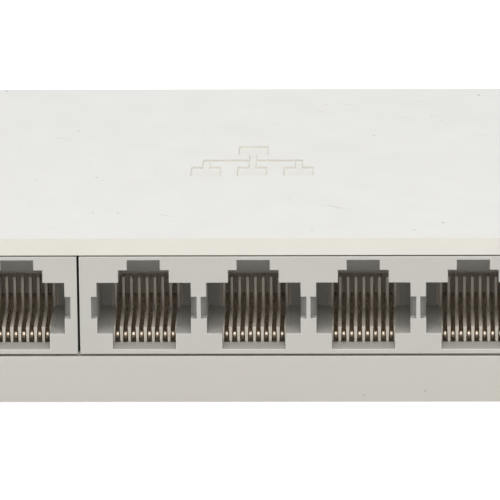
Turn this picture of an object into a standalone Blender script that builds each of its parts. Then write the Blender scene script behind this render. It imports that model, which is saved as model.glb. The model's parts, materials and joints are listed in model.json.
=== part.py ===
"""Five-port desktop network switch: a single port block and a gang of four in a plastic housing.

X runs along the row of ports, the ports face -Y, Z is up. The origin is on the desk, under the
middle of the housing. Every piece is one closed solid, and pieces keep a small gap to each other.
"""

import math

import bmesh
import bpy
from mathutils import Matrix, Vector

MM = 0.001
GAP = 0.3 * MM

# Housing: a top cover and a base that meet at a parting line
CASE_WIDTH = 103.5 * MM
CASE_DEPTH = 70.0 * MM
CASE_TOP = 22.0 * MM
BASE_BOTTOM = 0.5 * MM
BASE_TOP = 6.5 * MM
WALL = 2.0 * MM
FLOOR = 2.0 * MM
CORNER_RADIUS = 2.0 * MM
TOP_CHAMFER = 1.65 * MM
TONGUE_TOP = 8.0 * MM
TONGUE_THICKNESS = 0.7 * MM
FRONT = -CASE_DEPTH / 2
BACK = CASE_DEPTH / 2
CEILING = CASE_TOP - TOP_CHAMFER
COVER_BOTTOM = BASE_TOP + GAP
INNER_X = CASE_WIDTH / 2 - WALL
INNER_Y = CASE_DEPTH / 2 - WALL
FLOOR_TOP = BASE_BOTTOM + FLOOR

# Circuit board and the level that the parts on it stand on
BOARD_BOTTOM = 5.1 * MM
BOARD_TOP = 6.7 * MM
BOARD_HALF_WIDTH = 47.5 * MM
BOARD_FRONT = -32.5 * MM
BOARD_BACK = 26.0 * MM
SEAT = BOARD_TOP + GAP

# Modular jacks: the opening is stepped, latch side up. Heights are above the block's underside
PORT_PITCH = 13.97 * MM
SINGLE_X = -29.28 * MM
SINGLE_WIDTH = 15.2 * MM
QUAD_X = 7.765 * MM
QUAD_WIDTH = 58.3 * MM
QUAD_OFFSETS = [(place - 1.5) * PORT_PITCH for place in range(4)]
BLOCK_HEIGHT = 13.05 * MM
BLOCK_DEPTH = 16.0 * MM
MOUTH_DEPTH = 2.4 * MM
NOTCH_SILL_DEPTH = 3.0 * MM
LATCH_DEPTH = 4.9 * MM
SHOULDER_DEPTH = 1.2 * MM
CAVITY_DEPTH = 11.5 * MM
CONTACT_NOTCH_HALF, CONTACT_NOTCH_Z = 4.035 * MM, 0.63 * MM
PLUG_HALF, PLUG_FLOOR, PLUG_TOP = 5.98 * MM, 2.75 * MM, 9.55 * MM
SHOULDER_HALF, SHOULDER_LOW, SHOULDER_HIGH = 6.71 * MM, 4.78 * MM, 7.66 * MM
STEP_HALF, STEP_TOP = 3.21 * MM, 11.23 * MM
LATCH_HALF, LATCH_TOP = 2.08 * MM, 12.57 * MM
HOOK_HALF = 3.4 * MM
TRAY_SLOT_HALF = 4.6 * MM
PEG_RADIUS = 1.2 * MM
PEG_X = 6.0 * MM
PEG_DEPTH = 8.0 * MM

# Contact wires: a hairpin at the front, an arm that leans up to the back
WIRE_COUNT = 8
WIRE_PITCH = 1.016 * MM
WIRE_WIDTH = 0.42 * MM
WIRE_THICKNESS = 0.35 * MM
BEND_DEPTH = 3.8 * MM
BEND_HEIGHT = 1.42 * MM
BEND_RADIUS = 0.4 * MM
ARM_SLOPE = math.radians(20.0)
ARM_REACH = 7.35 * MM
FOOT_DROP = 0.7 * MM
FOOT_BACK = 1.0 * MM
TIE_SIZE = 0.3 * MM

# Carrier that holds the wires: two combs on a plate, with the soldered tails below
RIB_WIDTH = 0.4 * MM
TRAY_FRONT, TRAY_BACK = 4.9 * MM, 15.7 * MM
GROOVE_FLOOR = 1.2 * MM
FLOOR_RIB_NEAR, FLOOR_RIB_TOP = 3.3 * MM, 2.6 * MM
COMB_NEAR, COMB_FAR, COMB_TOP = 10.8 * MM, 14.9 * MM, 6.8 * MM
TRAY_WALL_TOP = 7.1 * MM
TIE_ROOM = (4.1 * MM, 5.2 * MM)
TIE_ROOM_TOP = 1.32 * MM
TAIL_WIDTH = 0.5 * MM
TAIL_HOLE = 1.1 * MM
TAIL_ROWS = (12.6 * MM, 15.0 * MM)
TAIL_END = 4.4 * MM

# Power inlet, left of the single port
JACK_X = -44.2 * MM
JACK_HALF = 4.5 * MM
JACK_DEPTH = 14.0 * MM
JACK_TOP = 18.0 * MM
JACK_AXIS_Z = 13.5 * MM
JACK_BORE = 3.2 * MM
JACK_BORE_DEPTH = 10.0 * MM
JACK_PIN_RADIUS = 1.0 * MM
JACK_PIN_SET_BACK = 1.0 * MM
SPRING_HALF = 1.2 * MM
SPRING_THICKNESS = 0.35 * MM
SPRING_PIVOT_DEPTH = 9.5 * MM
SPRING_PIVOT_Z = 9.6 * MM
SPRING_SLOT_FLOOR = 8.4 * MM
SPRING_PATH = [
    (0.0, 0.0),
    (-2.5 * MM, 0.9 * MM),
    (-4.0 * MM, 1.25 * MM),
    (-5.2 * MM, 0.6 * MM),
    (-6.6 * MM, 0.3 * MM),
]
TAB_HALF = 1.2 * MM
TAB_HALF_THICKNESS = 0.3 * MM
PIN_TAB_BEHIND = 0.6 * MM
PIN_TAB_RISE = 1.5 * MM
SPRING_TAB_AHEAD = 3.0 * MM

# Fixings
CASE_SCREW = (44.6 * MM, 8.0 * MM)
BOSS_RADIUS = 3.0 * MM
PAD_RADIUS = 4.5 * MM
PAD_TOP = 4.6 * MM
SCREW_HEAD_RADIUS = 2.6 * MM
SCREW_RADIUS = 1.3 * MM
SCREW_HEAD_HEIGHT = 1.7 * MM
CROSS_HALF_WIDTH, CROSS_REACH, CROSS_DEPTH = 0.3 * MM, 1.5 * MM, 0.8 * MM
CASE_SCREW_HEAD_Z = 0.6 * MM
CASE_SCREW_TIP = 12.9 * MM
BOARD_SCREWS = {"left": (-43.5 * MM, -12.0 * MM), "right": (43.0 * MM, -16.0 * MM)}
BOARD_SCREW_TIP = 3.2 * MM
POST_RADIUS = 2.6 * MM
SUPPORTS = [(-30.0 * MM, 20.0 * MM), (30.0 * MM, 20.0 * MM)]
FOOT_X, FOOT_Y = 42.0 * MM, 26.0 * MM
FOOT_RADIUS = 5.0 * MM
FOOT_HEIGHT = 1.2 * MM
FOOT_RECESS_TOP = 1.5 * MM
KEYHOLE_X = 30.0 * MM
KEYHOLE_HEAD, KEYHOLE_SHANK, KEYHOLE_RUN = 3.6 * MM, 1.9 * MM, 6.0 * MM
LABEL_HALF_X, LABEL_HALF_Y = 17.7 * MM, 10.7 * MM
LABEL_RECESS_TOP = 1.1 * MM
LABEL_LOW, LABEL_HIGH = 0.05 * MM, 0.25 * MM

# Packages on the board, in millimetres: name, middle, body size, leads along X, along Y, lead pitch
PACKAGES = [
    ("switch_chip", (8.0, 8.0), (14.0, 14.0, 1.5), 8, 8, 1.5),
    ("line_transformer_quad", (7.8, -11.5), (28.0, 9.0, 5.8), 12, 0, 2.0),
    ("line_transformer_single", (-29.3, -12.5), (13.0, 7.0, 5.2), 6, 0, 1.9),
    ("buck_converter", (-24.0, 6.0), (5.0, 4.0, 1.5), 4, 0, 1.27),
    ("core_regulator", (28.0, 12.0), (6.5, 3.5, 1.6), 3, 0, 2.3),
    ("input_diode", (-40.0, -2.0), (4.3, 2.6, 2.2), 1, 0, 1.0),
]
PACKAGE_LIFT, PACKAGE_CORNER = 0.1 * MM, 0.2 * MM
LEAD_REACH, LEAD_HALF, LEAD_THICKNESS = 1.0 * MM, 0.17 * MM, 0.3 * MM

# Other parts on the board
CRYSTAL_PLACE = (26.0 * MM, 2.0 * MM)
CRYSTAL_HALF = (5.6 * MM, 2.3 * MM, 3.5 * MM)
CRYSTAL_ROUND, CRYSTAL_CHAMFER = 2.25 * MM, 0.4 * MM
INDUCTOR_PLACE = (-33.5 * MM, 5.0 * MM)
INDUCTOR_HALF, INDUCTOR_HEIGHT = 3.4 * MM, 3.0 * MM
INDUCTOR_ROUND, INDUCTOR_CHAMFER = 0.8 * MM, 0.3 * MM
CAN_CAPACITORS = [
    ("input_capacitor", (-36.0 * MM, 17.0 * MM), 4.0 * MM, 11.5 * MM),
    ("output_capacitor", (-24.0 * MM, 16.0 * MM), 3.15 * MM, 7.0 * MM),
]
DISC_PLACE = (30.0 * MM, -13.0 * MM)
DISC_RADIUS, DISC_HALF, DISC_LIFT = 3.8 * MM, 1.4 * MM, 0.8 * MM
DISC_LEAD_SPREAD, DISC_LEAD_HALF, DISC_LEAD_TOP = 2.5 * MM, 0.25 * MM, 3.0 * MM
LAMP_HALF = (0.8 * MM, 0.4 * MM, 0.7 * MM)
LAMP_ROUND = 0.15 * MM

# Indicators and their light guide, on the side away from the ports
LED_PITCH = 7.0 * MM
LED_X = [(place - 2.5) * LED_PITCH for place in range(6)]
LED_NAMES = ["led_power"] + [f"led_port_{number}" for number in range(1, 6)]
LED_Y = 23.1 * MM
GUIDE_HALF = 1.2 * MM
GUIDE_LOW, GUIDE_HIGH = 10.7 * MM, 12.3 * MM
GUIDE_BAR = (26.0 * MM, 28.0 * MM)
GUIDE_PRESS_X = 14.0 * MM
GUIDE_STUB_HALF = 1.1 * MM
GUIDE_SLANT = 1.2 * MM

# Side vents
VENT_PITCH = 4.0 * MM
VENT_Y = [(place - 3.5) * VENT_PITCH for place in range(8)]
VENT_LOW, VENT_HIGH = 11.0 * MM, 18.0 * MM
VENT_HALF = 0.7 * MM

# Sunk pictogram on the lid: one square linked to three
MARK_DEPTH = 0.25 * MM
MARK_SQUARE = 1.9 * MM
MARK_LINE = 0.45 * MM
MARK_SPREAD = 6.1 * MM
MARK_RISE = 4.6 * MM

CIRCLE = 24
SMALL_CIRCLE = 12


# ---- scene -------------------------------------------------------------------------------------


def clear_scene():
    for item in list(bpy.data.objects):
        bpy.data.objects.remove(item, do_unlink=True)


def new_collection(name):
    collection = bpy.data.collections.new(name)
    bpy.context.scene.collection.children.link(collection)
    return collection


def finish(name, colour, roughness, metallic=0.0):
    material = bpy.data.materials.new(name)
    material.use_nodes = True
    shader = material.node_tree.nodes["Principled BSDF"]
    shader.inputs["Base Color"].default_value = (*colour, 1.0)
    shader.inputs["Roughness"].default_value = roughness
    shader.inputs["Metallic"].default_value = metallic
    return material


# ---- shapes: each returns a mesh ---------------------------------------------------------------


def as_mesh(bm, name="shape"):
    mesh = bpy.data.meshes.new(name)
    bm.to_mesh(mesh)
    bm.free()
    return mesh


def box_matrix(low, high):
    low, high = Vector(low), Vector(high)
    return Matrix.Translation((low + high) / 2) @ Matrix.Diagonal((*(high - low), 1.0))


def boxes(*corners):
    """One box for each (low corner, high corner), apart from one another."""
    bm = bmesh.new()
    for low, high in corners:
        bmesh.ops.create_cube(bm, size=1.0, matrix=box_matrix(low, high))
    return as_mesh(bm)


def rods(radius, *ends, segments=CIRCLE):
    """One closed cylinder for each (start, end), apart from one another."""
    bm = bmesh.new()
    for start, end in ends:
        start, end = Vector(start), Vector(end)
        along = end - start
        place = Matrix.Translation((start + end) / 2) @ along.to_track_quat("Z", "Y").to_matrix().to_4x4()
        bmesh.ops.create_cone(
            bm, cap_ends=True, segments=segments, radius1=radius, radius2=radius,
            depth=along.length, matrix=place,
        )
    return as_mesh(bm)


def rounded_block(low, high, radius, chamfer=0.0, segments=4):
    """A box with round upright corners, and a flat chamfer round its top."""
    bm = bmesh.new()
    bmesh.ops.create_cube(bm, size=1.0, matrix=box_matrix(low, high))
    upright = [e for e in bm.edges if abs(e.verts[0].co.z - e.verts[1].co.z) > MM]
    bmesh.ops.bevel(bm, geom=upright, offset=radius, segments=segments, profile=0.5, affect="EDGES")
    if chamfer:
        rim = [e for e in bm.edges if all(abs(v.co.z - high[2]) < 0.01 * MM for v in e.verts)]
        bmesh.ops.bevel(bm, geom=rim, offset=chamfer, segments=1, profile=0.5, affect="EDGES")
    return as_mesh(bm)


def flat_outline(points, thickness):
    """An outline in the local XY plane, thickness along local Z, closed by one flat cap at each end."""
    curve = bpy.data.curves.new("outline", "CURVE")
    curve.dimensions = "2D"
    curve.fill_mode = "NONE"
    curve.extrude = thickness / 2
    spline = curve.splines.new("POLY")
    spline.points.add(len(points) - 1)
    for point, (x, y) in zip(spline.points, points):
        point.co = (x, y, 0.0, 1.0)
    spline.use_cyclic_u = True
    holder = bpy.data.objects.new("outline", curve)
    bpy.context.scene.collection.objects.link(holder)
    view = bpy.context.evaluated_depsgraph_get()
    mesh = bpy.data.meshes.new_from_object(holder.evaluated_get(view))
    bpy.data.objects.remove(holder, do_unlink=True)
    bm = bmesh.new()
    bm.from_mesh(mesh)
    bmesh.ops.remove_doubles(bm, verts=bm.verts, dist=0.001 * MM)
    bmesh.ops.holes_fill(bm, edges=[edge for edge in bm.edges if edge.is_boundary])
    bmesh.ops.recalc_face_normals(bm, faces=bm.faces)
    bm.to_mesh(mesh)
    bm.free()
    return mesh


def facing_front(points, near, far):
    """An outline of (x, z) points, extruded along Y from near to far."""
    mesh = flat_outline(points, far - near)
    mesh.transform(Matrix.Translation((0, (near + far) / 2, 0)) @ Matrix.Rotation(math.radians(90), 4, "X"))
    return mesh


def facing_side(points, left, right):
    """An outline of (y, z) points, extruded along X from left to right."""
    mesh = flat_outline(points, right - left)
    turn = Matrix(((0, 0, 1, 0), (1, 0, 0, 0), (0, 1, 0, 0), (0, 0, 0, 1)))
    mesh.transform(Matrix.Translation(((left + right) / 2, 0, 0)) @ turn)
    return mesh


def repeated(mesh, offsets):
    """Copies of a mesh at offsets along X, kept apart from one another."""
    bm = bmesh.new()
    for offset in offsets:
        mesh.transform(Matrix.Translation((offset, 0, 0)))
        bm.from_mesh(mesh)
        mesh.transform(Matrix.Translation((-offset, 0, 0)))
    return as_mesh(bm)


def mirrored(half):
    """A closed outline from its right half, listed from the bottom to the top."""
    return half + [(-x, z) for x, z in reversed(half)]


def ribbon(path, thickness):
    """The outline of a strip that follows a path of (y, z) points."""
    left, right = [], []
    for index, here in enumerate(path):
        before = Vector(path[max(index - 1, 0)])
        after = Vector(path[min(index + 1, len(path) - 1)])
        along = (after - before).normalized()
        across = Vector((-along.y, along.x)) * thickness / 2
        left.append(tuple(Vector(here) + across))
        right.append(tuple(Vector(here) - across))
    return left + right[::-1]


def make(name, look, body, steps=(), at=(0.0, 0.0, 0.0)):
    """A sub-part: a mesh with others joined to it or cut from it, all given about the point it sits at."""
    part = bpy.data.objects.new(name, body)
    part.location = at
    part.data.materials.append(look)
    PARTS.objects.link(part)
    for operation, mesh in steps:
        tool = bpy.data.objects.new(f"{name}_tool", mesh)
        tool.location = at
        tool.display_type = "WIRE"
        tool.hide_render = True
        CUTTERS.objects.link(tool)
        boolean = part.modifiers.new(operation.title(), "BOOLEAN")
        boolean.operation = operation
        boolean.solver = "EXACT"
        boolean.object = tool
    return part


# ---- case --------------------------------------------------------------------------------------


def both_sides(x, y):
    return [(-x, y), (x, y)]


def mark_cutters():
    top, floor = CASE_TOP + MM, CASE_TOP - MARK_DEPTH
    half = MARK_SQUARE
    centres = [(0.0, MARK_RISE)] + [(side * MARK_SPREAD, -MARK_RISE) for side in (-1, 0, 1)]
    squares = [((x - half, y - half, floor), (x + half, y + half, top)) for x, y in centres]
    reach = MARK_RISE - half + MARK_LINE
    columns = [side * MARK_SPREAD for side in (-1, 0, 1)]
    drops = [((x - MARK_LINE, -reach, floor), (x + MARK_LINE, 0.0, top)) for x in columns]
    across = MARK_SPREAD + MARK_LINE
    return [
        (CUT, boxes(*squares)),
        (CUT, boxes(((-MARK_LINE, 0.0, floor), (MARK_LINE, reach, top)))),
        (CUT, boxes(*drops)),
        (CUT, boxes(((-across, -MARK_LINE, floor), (across, MARK_LINE, top)))),
    ]


def vent_cutters():
    """Two rows of slots, one through each side wall."""
    rows = []
    for side in (-1, 1):
        wall = side * CASE_WIDTH / 2
        left, right = wall - WALL - MM, wall + WALL + MM
        slots = [((left, y - VENT_HALF, VENT_LOW), (right, y + VENT_HALF, VENT_HIGH)) for y in VENT_Y]
        rows.append((CUT, boxes(*slots)))
    return rows


def window_cutter():
    half = GUIDE_HALF + GAP
    low, high = GUIDE_LOW - GAP, GUIDE_HIGH + GAP
    return boxes(*[((x - half, INNER_Y - MM, low), (x + half, BACK + MM, high)) for x in LED_X])


def front_opening(left, right, top):
    """An opening in the front wall, open at the bottom, with room for what stands in it."""
    return boxes(((left - GAP, FRONT - MM, 0.0), (right + GAP, -INNER_Y + MM, top)))


def make_cover():
    half_x, half_y = CASE_WIDTH / 2, CASE_DEPTH / 2
    shell = rounded_block(
        (-half_x, -half_y, COVER_BOTTOM), (half_x, half_y, CASE_TOP), CORNER_RADIUS, TOP_CHAMFER
    )
    hollow = boxes(((-INNER_X, -INNER_Y, 0.0), (INNER_X, INNER_Y, CEILING)))
    room = TONGUE_THICKNESS + GAP
    rebate = rounded_block(
        (-INNER_X - room, -INNER_Y + MM, 0.0), (INNER_X + room, INNER_Y + room, TONGUE_TOP + GAP), MM
    )
    ports = front_opening(SINGLE_X - SINGLE_WIDTH / 2, QUAD_X + QUAD_WIDTH / 2, CEILING)
    inlet = front_opening(JACK_X - JACK_HALF, JACK_X + JACK_HALF, JACK_TOP + GAP)
    screws = both_sides(*CASE_SCREW)
    low = PAD_TOP + GAP
    bosses = rods(BOSS_RADIUS, *[((x, y, low), (x, y, CEILING + MM)) for x, y in screws])
    holes = rods(
        SCREW_RADIUS + GAP,
        *[((x, y, low - MM), (x, y, CASE_SCREW_TIP + GAP)) for x, y in screws],
        segments=SMALL_CIRCLE,
    )
    middle = sum(GUIDE_BAR) / 2
    low = GUIDE_HIGH + GAP
    spots = (-GUIDE_PRESS_X, GUIDE_PRESS_X)
    presses = boxes(
        *[((x - MM, middle - MM, low), (x + MM, middle + MM, CEILING + MM)) for x in spots]
    )
    make(
        "top_cover",
        WHITE_PLASTIC,
        shell,
        [(CUT, hollow), (CUT, rebate), (CUT, ports), (CUT, inlet), (CUT, window_cutter())]
        + vent_cutters()
        + mark_cutters()
        + [(JOIN, bosses), (JOIN, presses), (CUT, holes)],
    )


def keyhole_cutters():
    """Two keyholes in the floor, to hang the switch on screw heads."""
    low, high = BASE_BOTTOM - MM, FLOOR_TOP + MM
    head, shank, run = KEYHOLE_HEAD, KEYHOLE_SHANK, KEYHOLE_RUN
    spots = (-KEYHOLE_X, KEYHOLE_X)
    return [
        (CUT, rods(head, *[((x, -run / 2, low), (x, -run / 2, high)) for x in spots])),
        (CUT, boxes(*[((x - shank, -run / 2, low), (x + shank, run / 2, high)) for x in spots])),
        (CUT, rods(shank, *[((x, run / 2, low), (x, run / 2, high)) for x in spots], segments=16)),
    ]


def make_base():
    half_x, half_y = CASE_WIDTH / 2, CASE_DEPTH / 2
    tub = rounded_block((-half_x, -half_y, BASE_BOTTOM), (half_x, half_y, BASE_TOP), CORNER_RADIUS)
    hollow = boxes(((-INNER_X, -INNER_Y, FLOOR_TOP), (INNER_X, INNER_Y, CASE_TOP)))
    ring_x, ring_y = INNER_X + TONGUE_THICKNESS, INNER_Y + TONGUE_THICKNESS
    low = BASE_TOP - 2 * MM
    tongue = boxes(
        ((-ring_x, -INNER_Y + 2 * MM, low), (-INNER_X, ring_y, TONGUE_TOP)),
        ((INNER_X, -INNER_Y + 2 * MM, low), (ring_x, ring_y, TONGUE_TOP)),
    )
    rear_tongue = boxes(((-INNER_X - GAP, INNER_Y, low), (INNER_X + GAP, ring_y, TONGUE_TOP)))
    under = FLOOR_TOP - MM
    case_screws = both_sides(*CASE_SCREW)
    board_screws = list(BOARD_SCREWS.values())
    pads = rods(PAD_RADIUS, *[((x, y, under), (x, y, PAD_TOP)) for x, y in case_screws])
    post_top = BOARD_BOTTOM - GAP
    posts = rods(
        POST_RADIUS, *[((x, y, under), (x, y, post_top)) for x, y in board_screws + SUPPORTS], segments=16
    )
    recess_top = CASE_SCREW_HEAD_Z + SCREW_HEAD_HEIGHT + GAP
    head_room = rods(
        SCREW_HEAD_RADIUS + GAP, *[((x, y, BASE_BOTTOM - MM), (x, y, recess_top)) for x, y in case_screws]
    )
    shank_room = rods(
        SCREW_RADIUS + GAP,
        *[((x, y, BASE_BOTTOM - MM), (x, y, PAD_TOP + MM)) for x, y in case_screws],
        segments=SMALL_CIRCLE,
    )
    post_holes = rods(
        SCREW_RADIUS + GAP,
        *[((x, y, BOARD_SCREW_TIP - GAP), (x, y, post_top + MM)) for x, y in board_screws],
        segments=SMALL_CIRCLE,
    )
    foot_room = rods(
        FOOT_RADIUS + GAP,
        *[((x, y, BASE_BOTTOM - MM), (x, y, FOOT_RECESS_TOP)) for x, y in foot_places()],
        segments=CIRCLE,
    )
    edge_x, edge_y = LABEL_HALF_X + GAP, LABEL_HALF_Y + GAP
    label_room = boxes(((-edge_x, -edge_y, BASE_BOTTOM - MM), (edge_x, edge_y, LABEL_RECESS_TOP)))
    make(
        "base_cover",
        WHITE_PLASTIC,
        tub,
        [(CUT, hollow), (JOIN, tongue), (JOIN, rear_tongue), (JOIN, pads), (JOIN, posts)]
        + [(CUT, head_room), (CUT, shank_room), (CUT, post_holes), (CUT, foot_room), (CUT, label_room)]
        + keyhole_cutters(),
    )


def foot_places():
    return [(side * FOOT_X, end * FOOT_Y) for end in (-1, 1) for side in (-1, 1)]


def make_feet():
    names = ["foot_front_left", "foot_front_right", "foot_rear_left", "foot_rear_right"]
    for name, (x, y) in zip(names, foot_places()):
        disc = rods(FOOT_RADIUS, ((0, 0, 0), (0, 0, FOOT_HEIGHT)))
        make(name, RUBBER, disc, at=(x, y, 0.0))


def make_label():
    sheet = boxes(((-LABEL_HALF_X, -LABEL_HALF_Y, LABEL_LOW), (LABEL_HALF_X, LABEL_HALF_Y, LABEL_HIGH)))
    make("rating_label", LABEL, sheet, at=(0.0, 0.0, BASE_BOTTOM))


def screw(head_radius, head_height, length):
    """A pan-head screw along +Z, its head's underside at the origin, with a cross recess."""
    head = rods(head_radius, ((0, 0, -head_height), (0, 0, 0)))
    shank = rods(SCREW_RADIUS, ((0, 0, -0.5 * MM), (0, 0, length)), segments=SMALL_CIRCLE)
    bar, arm = CROSS_HALF_WIDTH, CROSS_REACH
    low, high = -head_height - MM, -head_height + CROSS_DEPTH
    slot = boxes(((-arm, -bar, low), (arm, bar, high)))
    cross = boxes(((-bar, -arm, low), (bar, arm, high)))
    return head, [(JOIN, shank), (CUT, slot), (CUT, cross)]


def make_screws():
    head_level = CASE_SCREW_HEAD_Z + SCREW_HEAD_HEIGHT
    for name, (x, y) in zip(("case_screw_left", "case_screw_right"), both_sides(*CASE_SCREW)):
        head, steps = screw(SCREW_HEAD_RADIUS, SCREW_HEAD_HEIGHT, CASE_SCREW_TIP - head_level)
        make(name, STEEL, head, steps, at=(x, y, head_level))
    for side, (x, y) in BOARD_SCREWS.items():
        head, steps = screw(SCREW_HEAD_RADIUS, SCREW_HEAD_HEIGHT, SEAT - BOARD_SCREW_TIP)
        board_screw = make(f"board_screw_{side}", STEEL, head, steps, at=(x, y, SEAT))
        turn_over(board_screw)


def turn_over(part):
    """Point a part and its tools the other way, about its own place."""
    part.rotation_euler.x = math.pi
    for modifier in part.modifiers:
        modifier.object.rotation_euler.x = math.pi


# ---- board and what stands on it -----------------------------------------------------------------


def port_places():
    """Each port's middle, left to right."""
    return [SINGLE_X] + [QUAD_X + offset for offset in QUAD_OFFSETS]


def peg_places():
    """The pegs under the two blocks: near each block's ends."""
    single = [SINGLE_X - PEG_X, SINGLE_X + PEG_X]
    quad = [QUAD_X + QUAD_OFFSETS[0] - PEG_X, QUAD_X, QUAD_X + QUAD_OFFSETS[-1] + PEG_X]
    return single, quad


def tail_places():
    """The eight tails of a contact set, in two staggered rows: (x, depth) about the port's middle."""
    first = -(WIRE_COUNT - 1) / 2 * WIRE_PITCH
    return [(first + number * WIRE_PITCH, TAIL_ROWS[number % 2]) for number in range(WIRE_COUNT)]


def square_pins(places, half, low, high):
    return boxes(*[((x - half, y - half, low), (x + half, y + half, high)) for x, y in places])


def make_board():
    board = boxes(
        ((-BOARD_HALF_WIDTH, BOARD_FRONT, BOARD_BOTTOM), (BOARD_HALF_WIDTH, BOARD_BACK, BOARD_TOP))
    )
    low, high = BOARD_BOTTOM - MM, BOARD_TOP + MM
    tails = [(x + port, FRONT + depth) for port in port_places() for x, depth in tail_places()]
    single, quad = peg_places()
    pegs = [((x, FRONT + PEG_DEPTH, low), (x, FRONT + PEG_DEPTH, high)) for x in single + quad]
    notches = [((x, y, low), (x, y, high)) for x, y in both_sides(*CASE_SCREW)]
    screws = [((x, y, low), (x, y, high)) for x, y in BOARD_SCREWS.values()]
    slots = boxes(*jack_tab_boxes(low, high, GAP))
    leads = square_pins(capacitor_leads(), TAIL_HOLE / 2, low, high)
    make(
        "main_board",
        CIRCUIT_BOARD,
        board,
        [
            (CUT, square_pins(tails, TAIL_HOLE / 2, low, high)),
            (CUT, rods(PEG_RADIUS + GAP, *pegs, segments=16)),
            (CUT, rods(BOSS_RADIUS + 2 * GAP, *notches)),
            (CUT, rods(SCREW_RADIUS + GAP, *screws, segments=SMALL_CIRCLE)),
            (CUT, slots),
            (CUT, leads),
        ],
    )


def mouth_outline():
    """The stepped opening in a port's front, from the plug's floor to the latch notch."""
    return mirrored([
        (PLUG_HALF, PLUG_FLOOR),
        (PLUG_HALF, PLUG_TOP),
        (STEP_HALF, PLUG_TOP),
        (STEP_HALF, STEP_TOP),
        (LATCH_HALF, STEP_TOP),
        (LATCH_HALF, LATCH_TOP),
    ])


def make_port_block(name, middle, width, offsets, pegs):
    body = boxes(((-width / 2, 0.0, 0.0), (width / 2, BLOCK_DEPTH, BLOCK_HEIGHT)))
    lap = 0.1 * MM
    mouth = facing_front(mouth_outline(), -MM, MOUTH_DEPTH + lap)
    room = boxes(((-PLUG_HALF, MOUTH_DEPTH, PLUG_FLOOR), (PLUG_HALF, CAVITY_DEPTH, PLUG_TOP)))
    notch_half, floor = CONTACT_NOTCH_HALF, PLUG_FLOOR + lap
    notch = boxes(((-notch_half, -MM, CONTACT_NOTCH_Z), (notch_half, NOTCH_SILL_DEPTH + lap, floor)))
    shoulders = boxes(((-SHOULDER_HALF, -MM, SHOULDER_LOW), (SHOULDER_HALF, SHOULDER_DEPTH, SHOULDER_HIGH)))
    hook = boxes(((-HOOK_HALF, MOUTH_DEPTH, PLUG_TOP - MM), (HOOK_HALF, LATCH_DEPTH, LATCH_TOP)))
    half, top = TRAY_SLOT_HALF, TRAY_WALL_TOP + GAP
    wire_room = boxes(((-half, NOTCH_SILL_DEPTH, -MM), (half, CAVITY_DEPTH, floor)))
    slot = boxes(((-half, CAVITY_DEPTH - MM, -MM), (half, BLOCK_DEPTH + MM, top)))
    peg_low = BOARD_BOTTOM - SEAT - GAP
    peg_rods = rods(
        PEG_RADIUS, *[((x - middle, PEG_DEPTH, peg_low), (x - middle, PEG_DEPTH, MM)) for x in pegs],
        segments=16,
    )
    make(
        name,
        WHITE_NYLON,
        body,
        [(CUT, repeated(mesh, offsets)) for mesh in (mouth, room, notch, wire_room, shoulders, hook, slot)]
        + [(JOIN, peg_rods)],
        at=(middle, FRONT, SEAT),
    )


def wire_path():
    """One contact wire about its bend: foot, upright front, round bend, and the arm that leans back."""
    path = [(FOOT_BACK, -FOOT_DROP), (-BEND_RADIUS, -FOOT_DROP)]
    steps = 4
    for step in range(steps + 1):
        angle = math.pi - step / steps * (math.pi / 2 - ARM_SLOPE)
        path.append((BEND_RADIUS * math.cos(angle), BEND_RADIUS * math.sin(angle)))
    y, z = path[-1]
    return path + [(y + ARM_REACH, z + ARM_REACH * math.tan(ARM_SLOPE))]


def wire_places():
    return [(place - (WIRE_COUNT - 1) / 2) * WIRE_PITCH for place in range(WIRE_COUNT)]


def make_contact_set(number, port):
    """Eight spring wires, tied by a thin bar at their feet, that swing about their bends."""
    strip = facing_side(ribbon(wire_path(), WIRE_THICKNESS), -WIRE_WIDTH / 2, WIRE_WIDTH / 2)
    wires = repeated(strip, wire_places())
    half = wire_places()[-1] + WIRE_WIDTH / 2
    inset = 0.05 * MM
    far, low = FOOT_BACK - inset, -FOOT_DROP - TIE_SIZE / 2
    tie = boxes(((-half + inset, far - TIE_SIZE, low), (half - inset, far, low + TIE_SIZE)))
    make(
        f"contact_set_{number}",
        CONTACT_METAL,
        wires,
        [(JOIN, tie)],
        at=(port, FRONT + BEND_DEPTH, SEAT + BEND_HEIGHT),
    )


def ribs(near, far, low, high):
    """The nine ribs that stand between the wires and at their sides."""
    places = [(place - WIRE_COUNT / 2) * WIRE_PITCH for place in range(WIRE_COUNT + 1)]
    half = RIB_WIDTH / 2
    return boxes(*[((x - half, near, low), (x + half, far, high)) for x in places])


def make_contact_tray(number, port):
    """The carrier in a port's floor: grooved plate, rear comb, back wall, and the tails below."""
    half = (WIRE_COUNT * WIRE_PITCH + RIB_WIDTH) / 2
    lap = 0.1 * MM
    plate = boxes(((-half, TRAY_FRONT, 0.0), (half, TRAY_BACK, GROOVE_FLOOR)))
    wall = boxes(((-half, COMB_FAR - lap, lap), (half, TRAY_BACK - lap, TRAY_WALL_TOP)))
    near, far = TIE_ROOM
    tie_room = boxes(((-half - MM, near, -MM), (half + MM, far, TIE_ROOM_TOP)))
    pins = square_pins(tail_places(), TAIL_WIDTH / 2, TAIL_END - SEAT, 2 * lap)
    make(
        f"contact_tray_{number}",
        CARRIER_PLASTIC,
        plate,
        [
            (JOIN, wall),
            (JOIN, ribs(FLOOR_RIB_NEAR, COMB_NEAR + lap, lap, FLOOR_RIB_TOP)),
            (JOIN, ribs(COMB_NEAR, COMB_FAR, 2 * lap, COMB_TOP)),
            (CUT, tie_room),
            (JOIN, pins),
        ],
        at=(port, FRONT, SEAT),
    )


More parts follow.
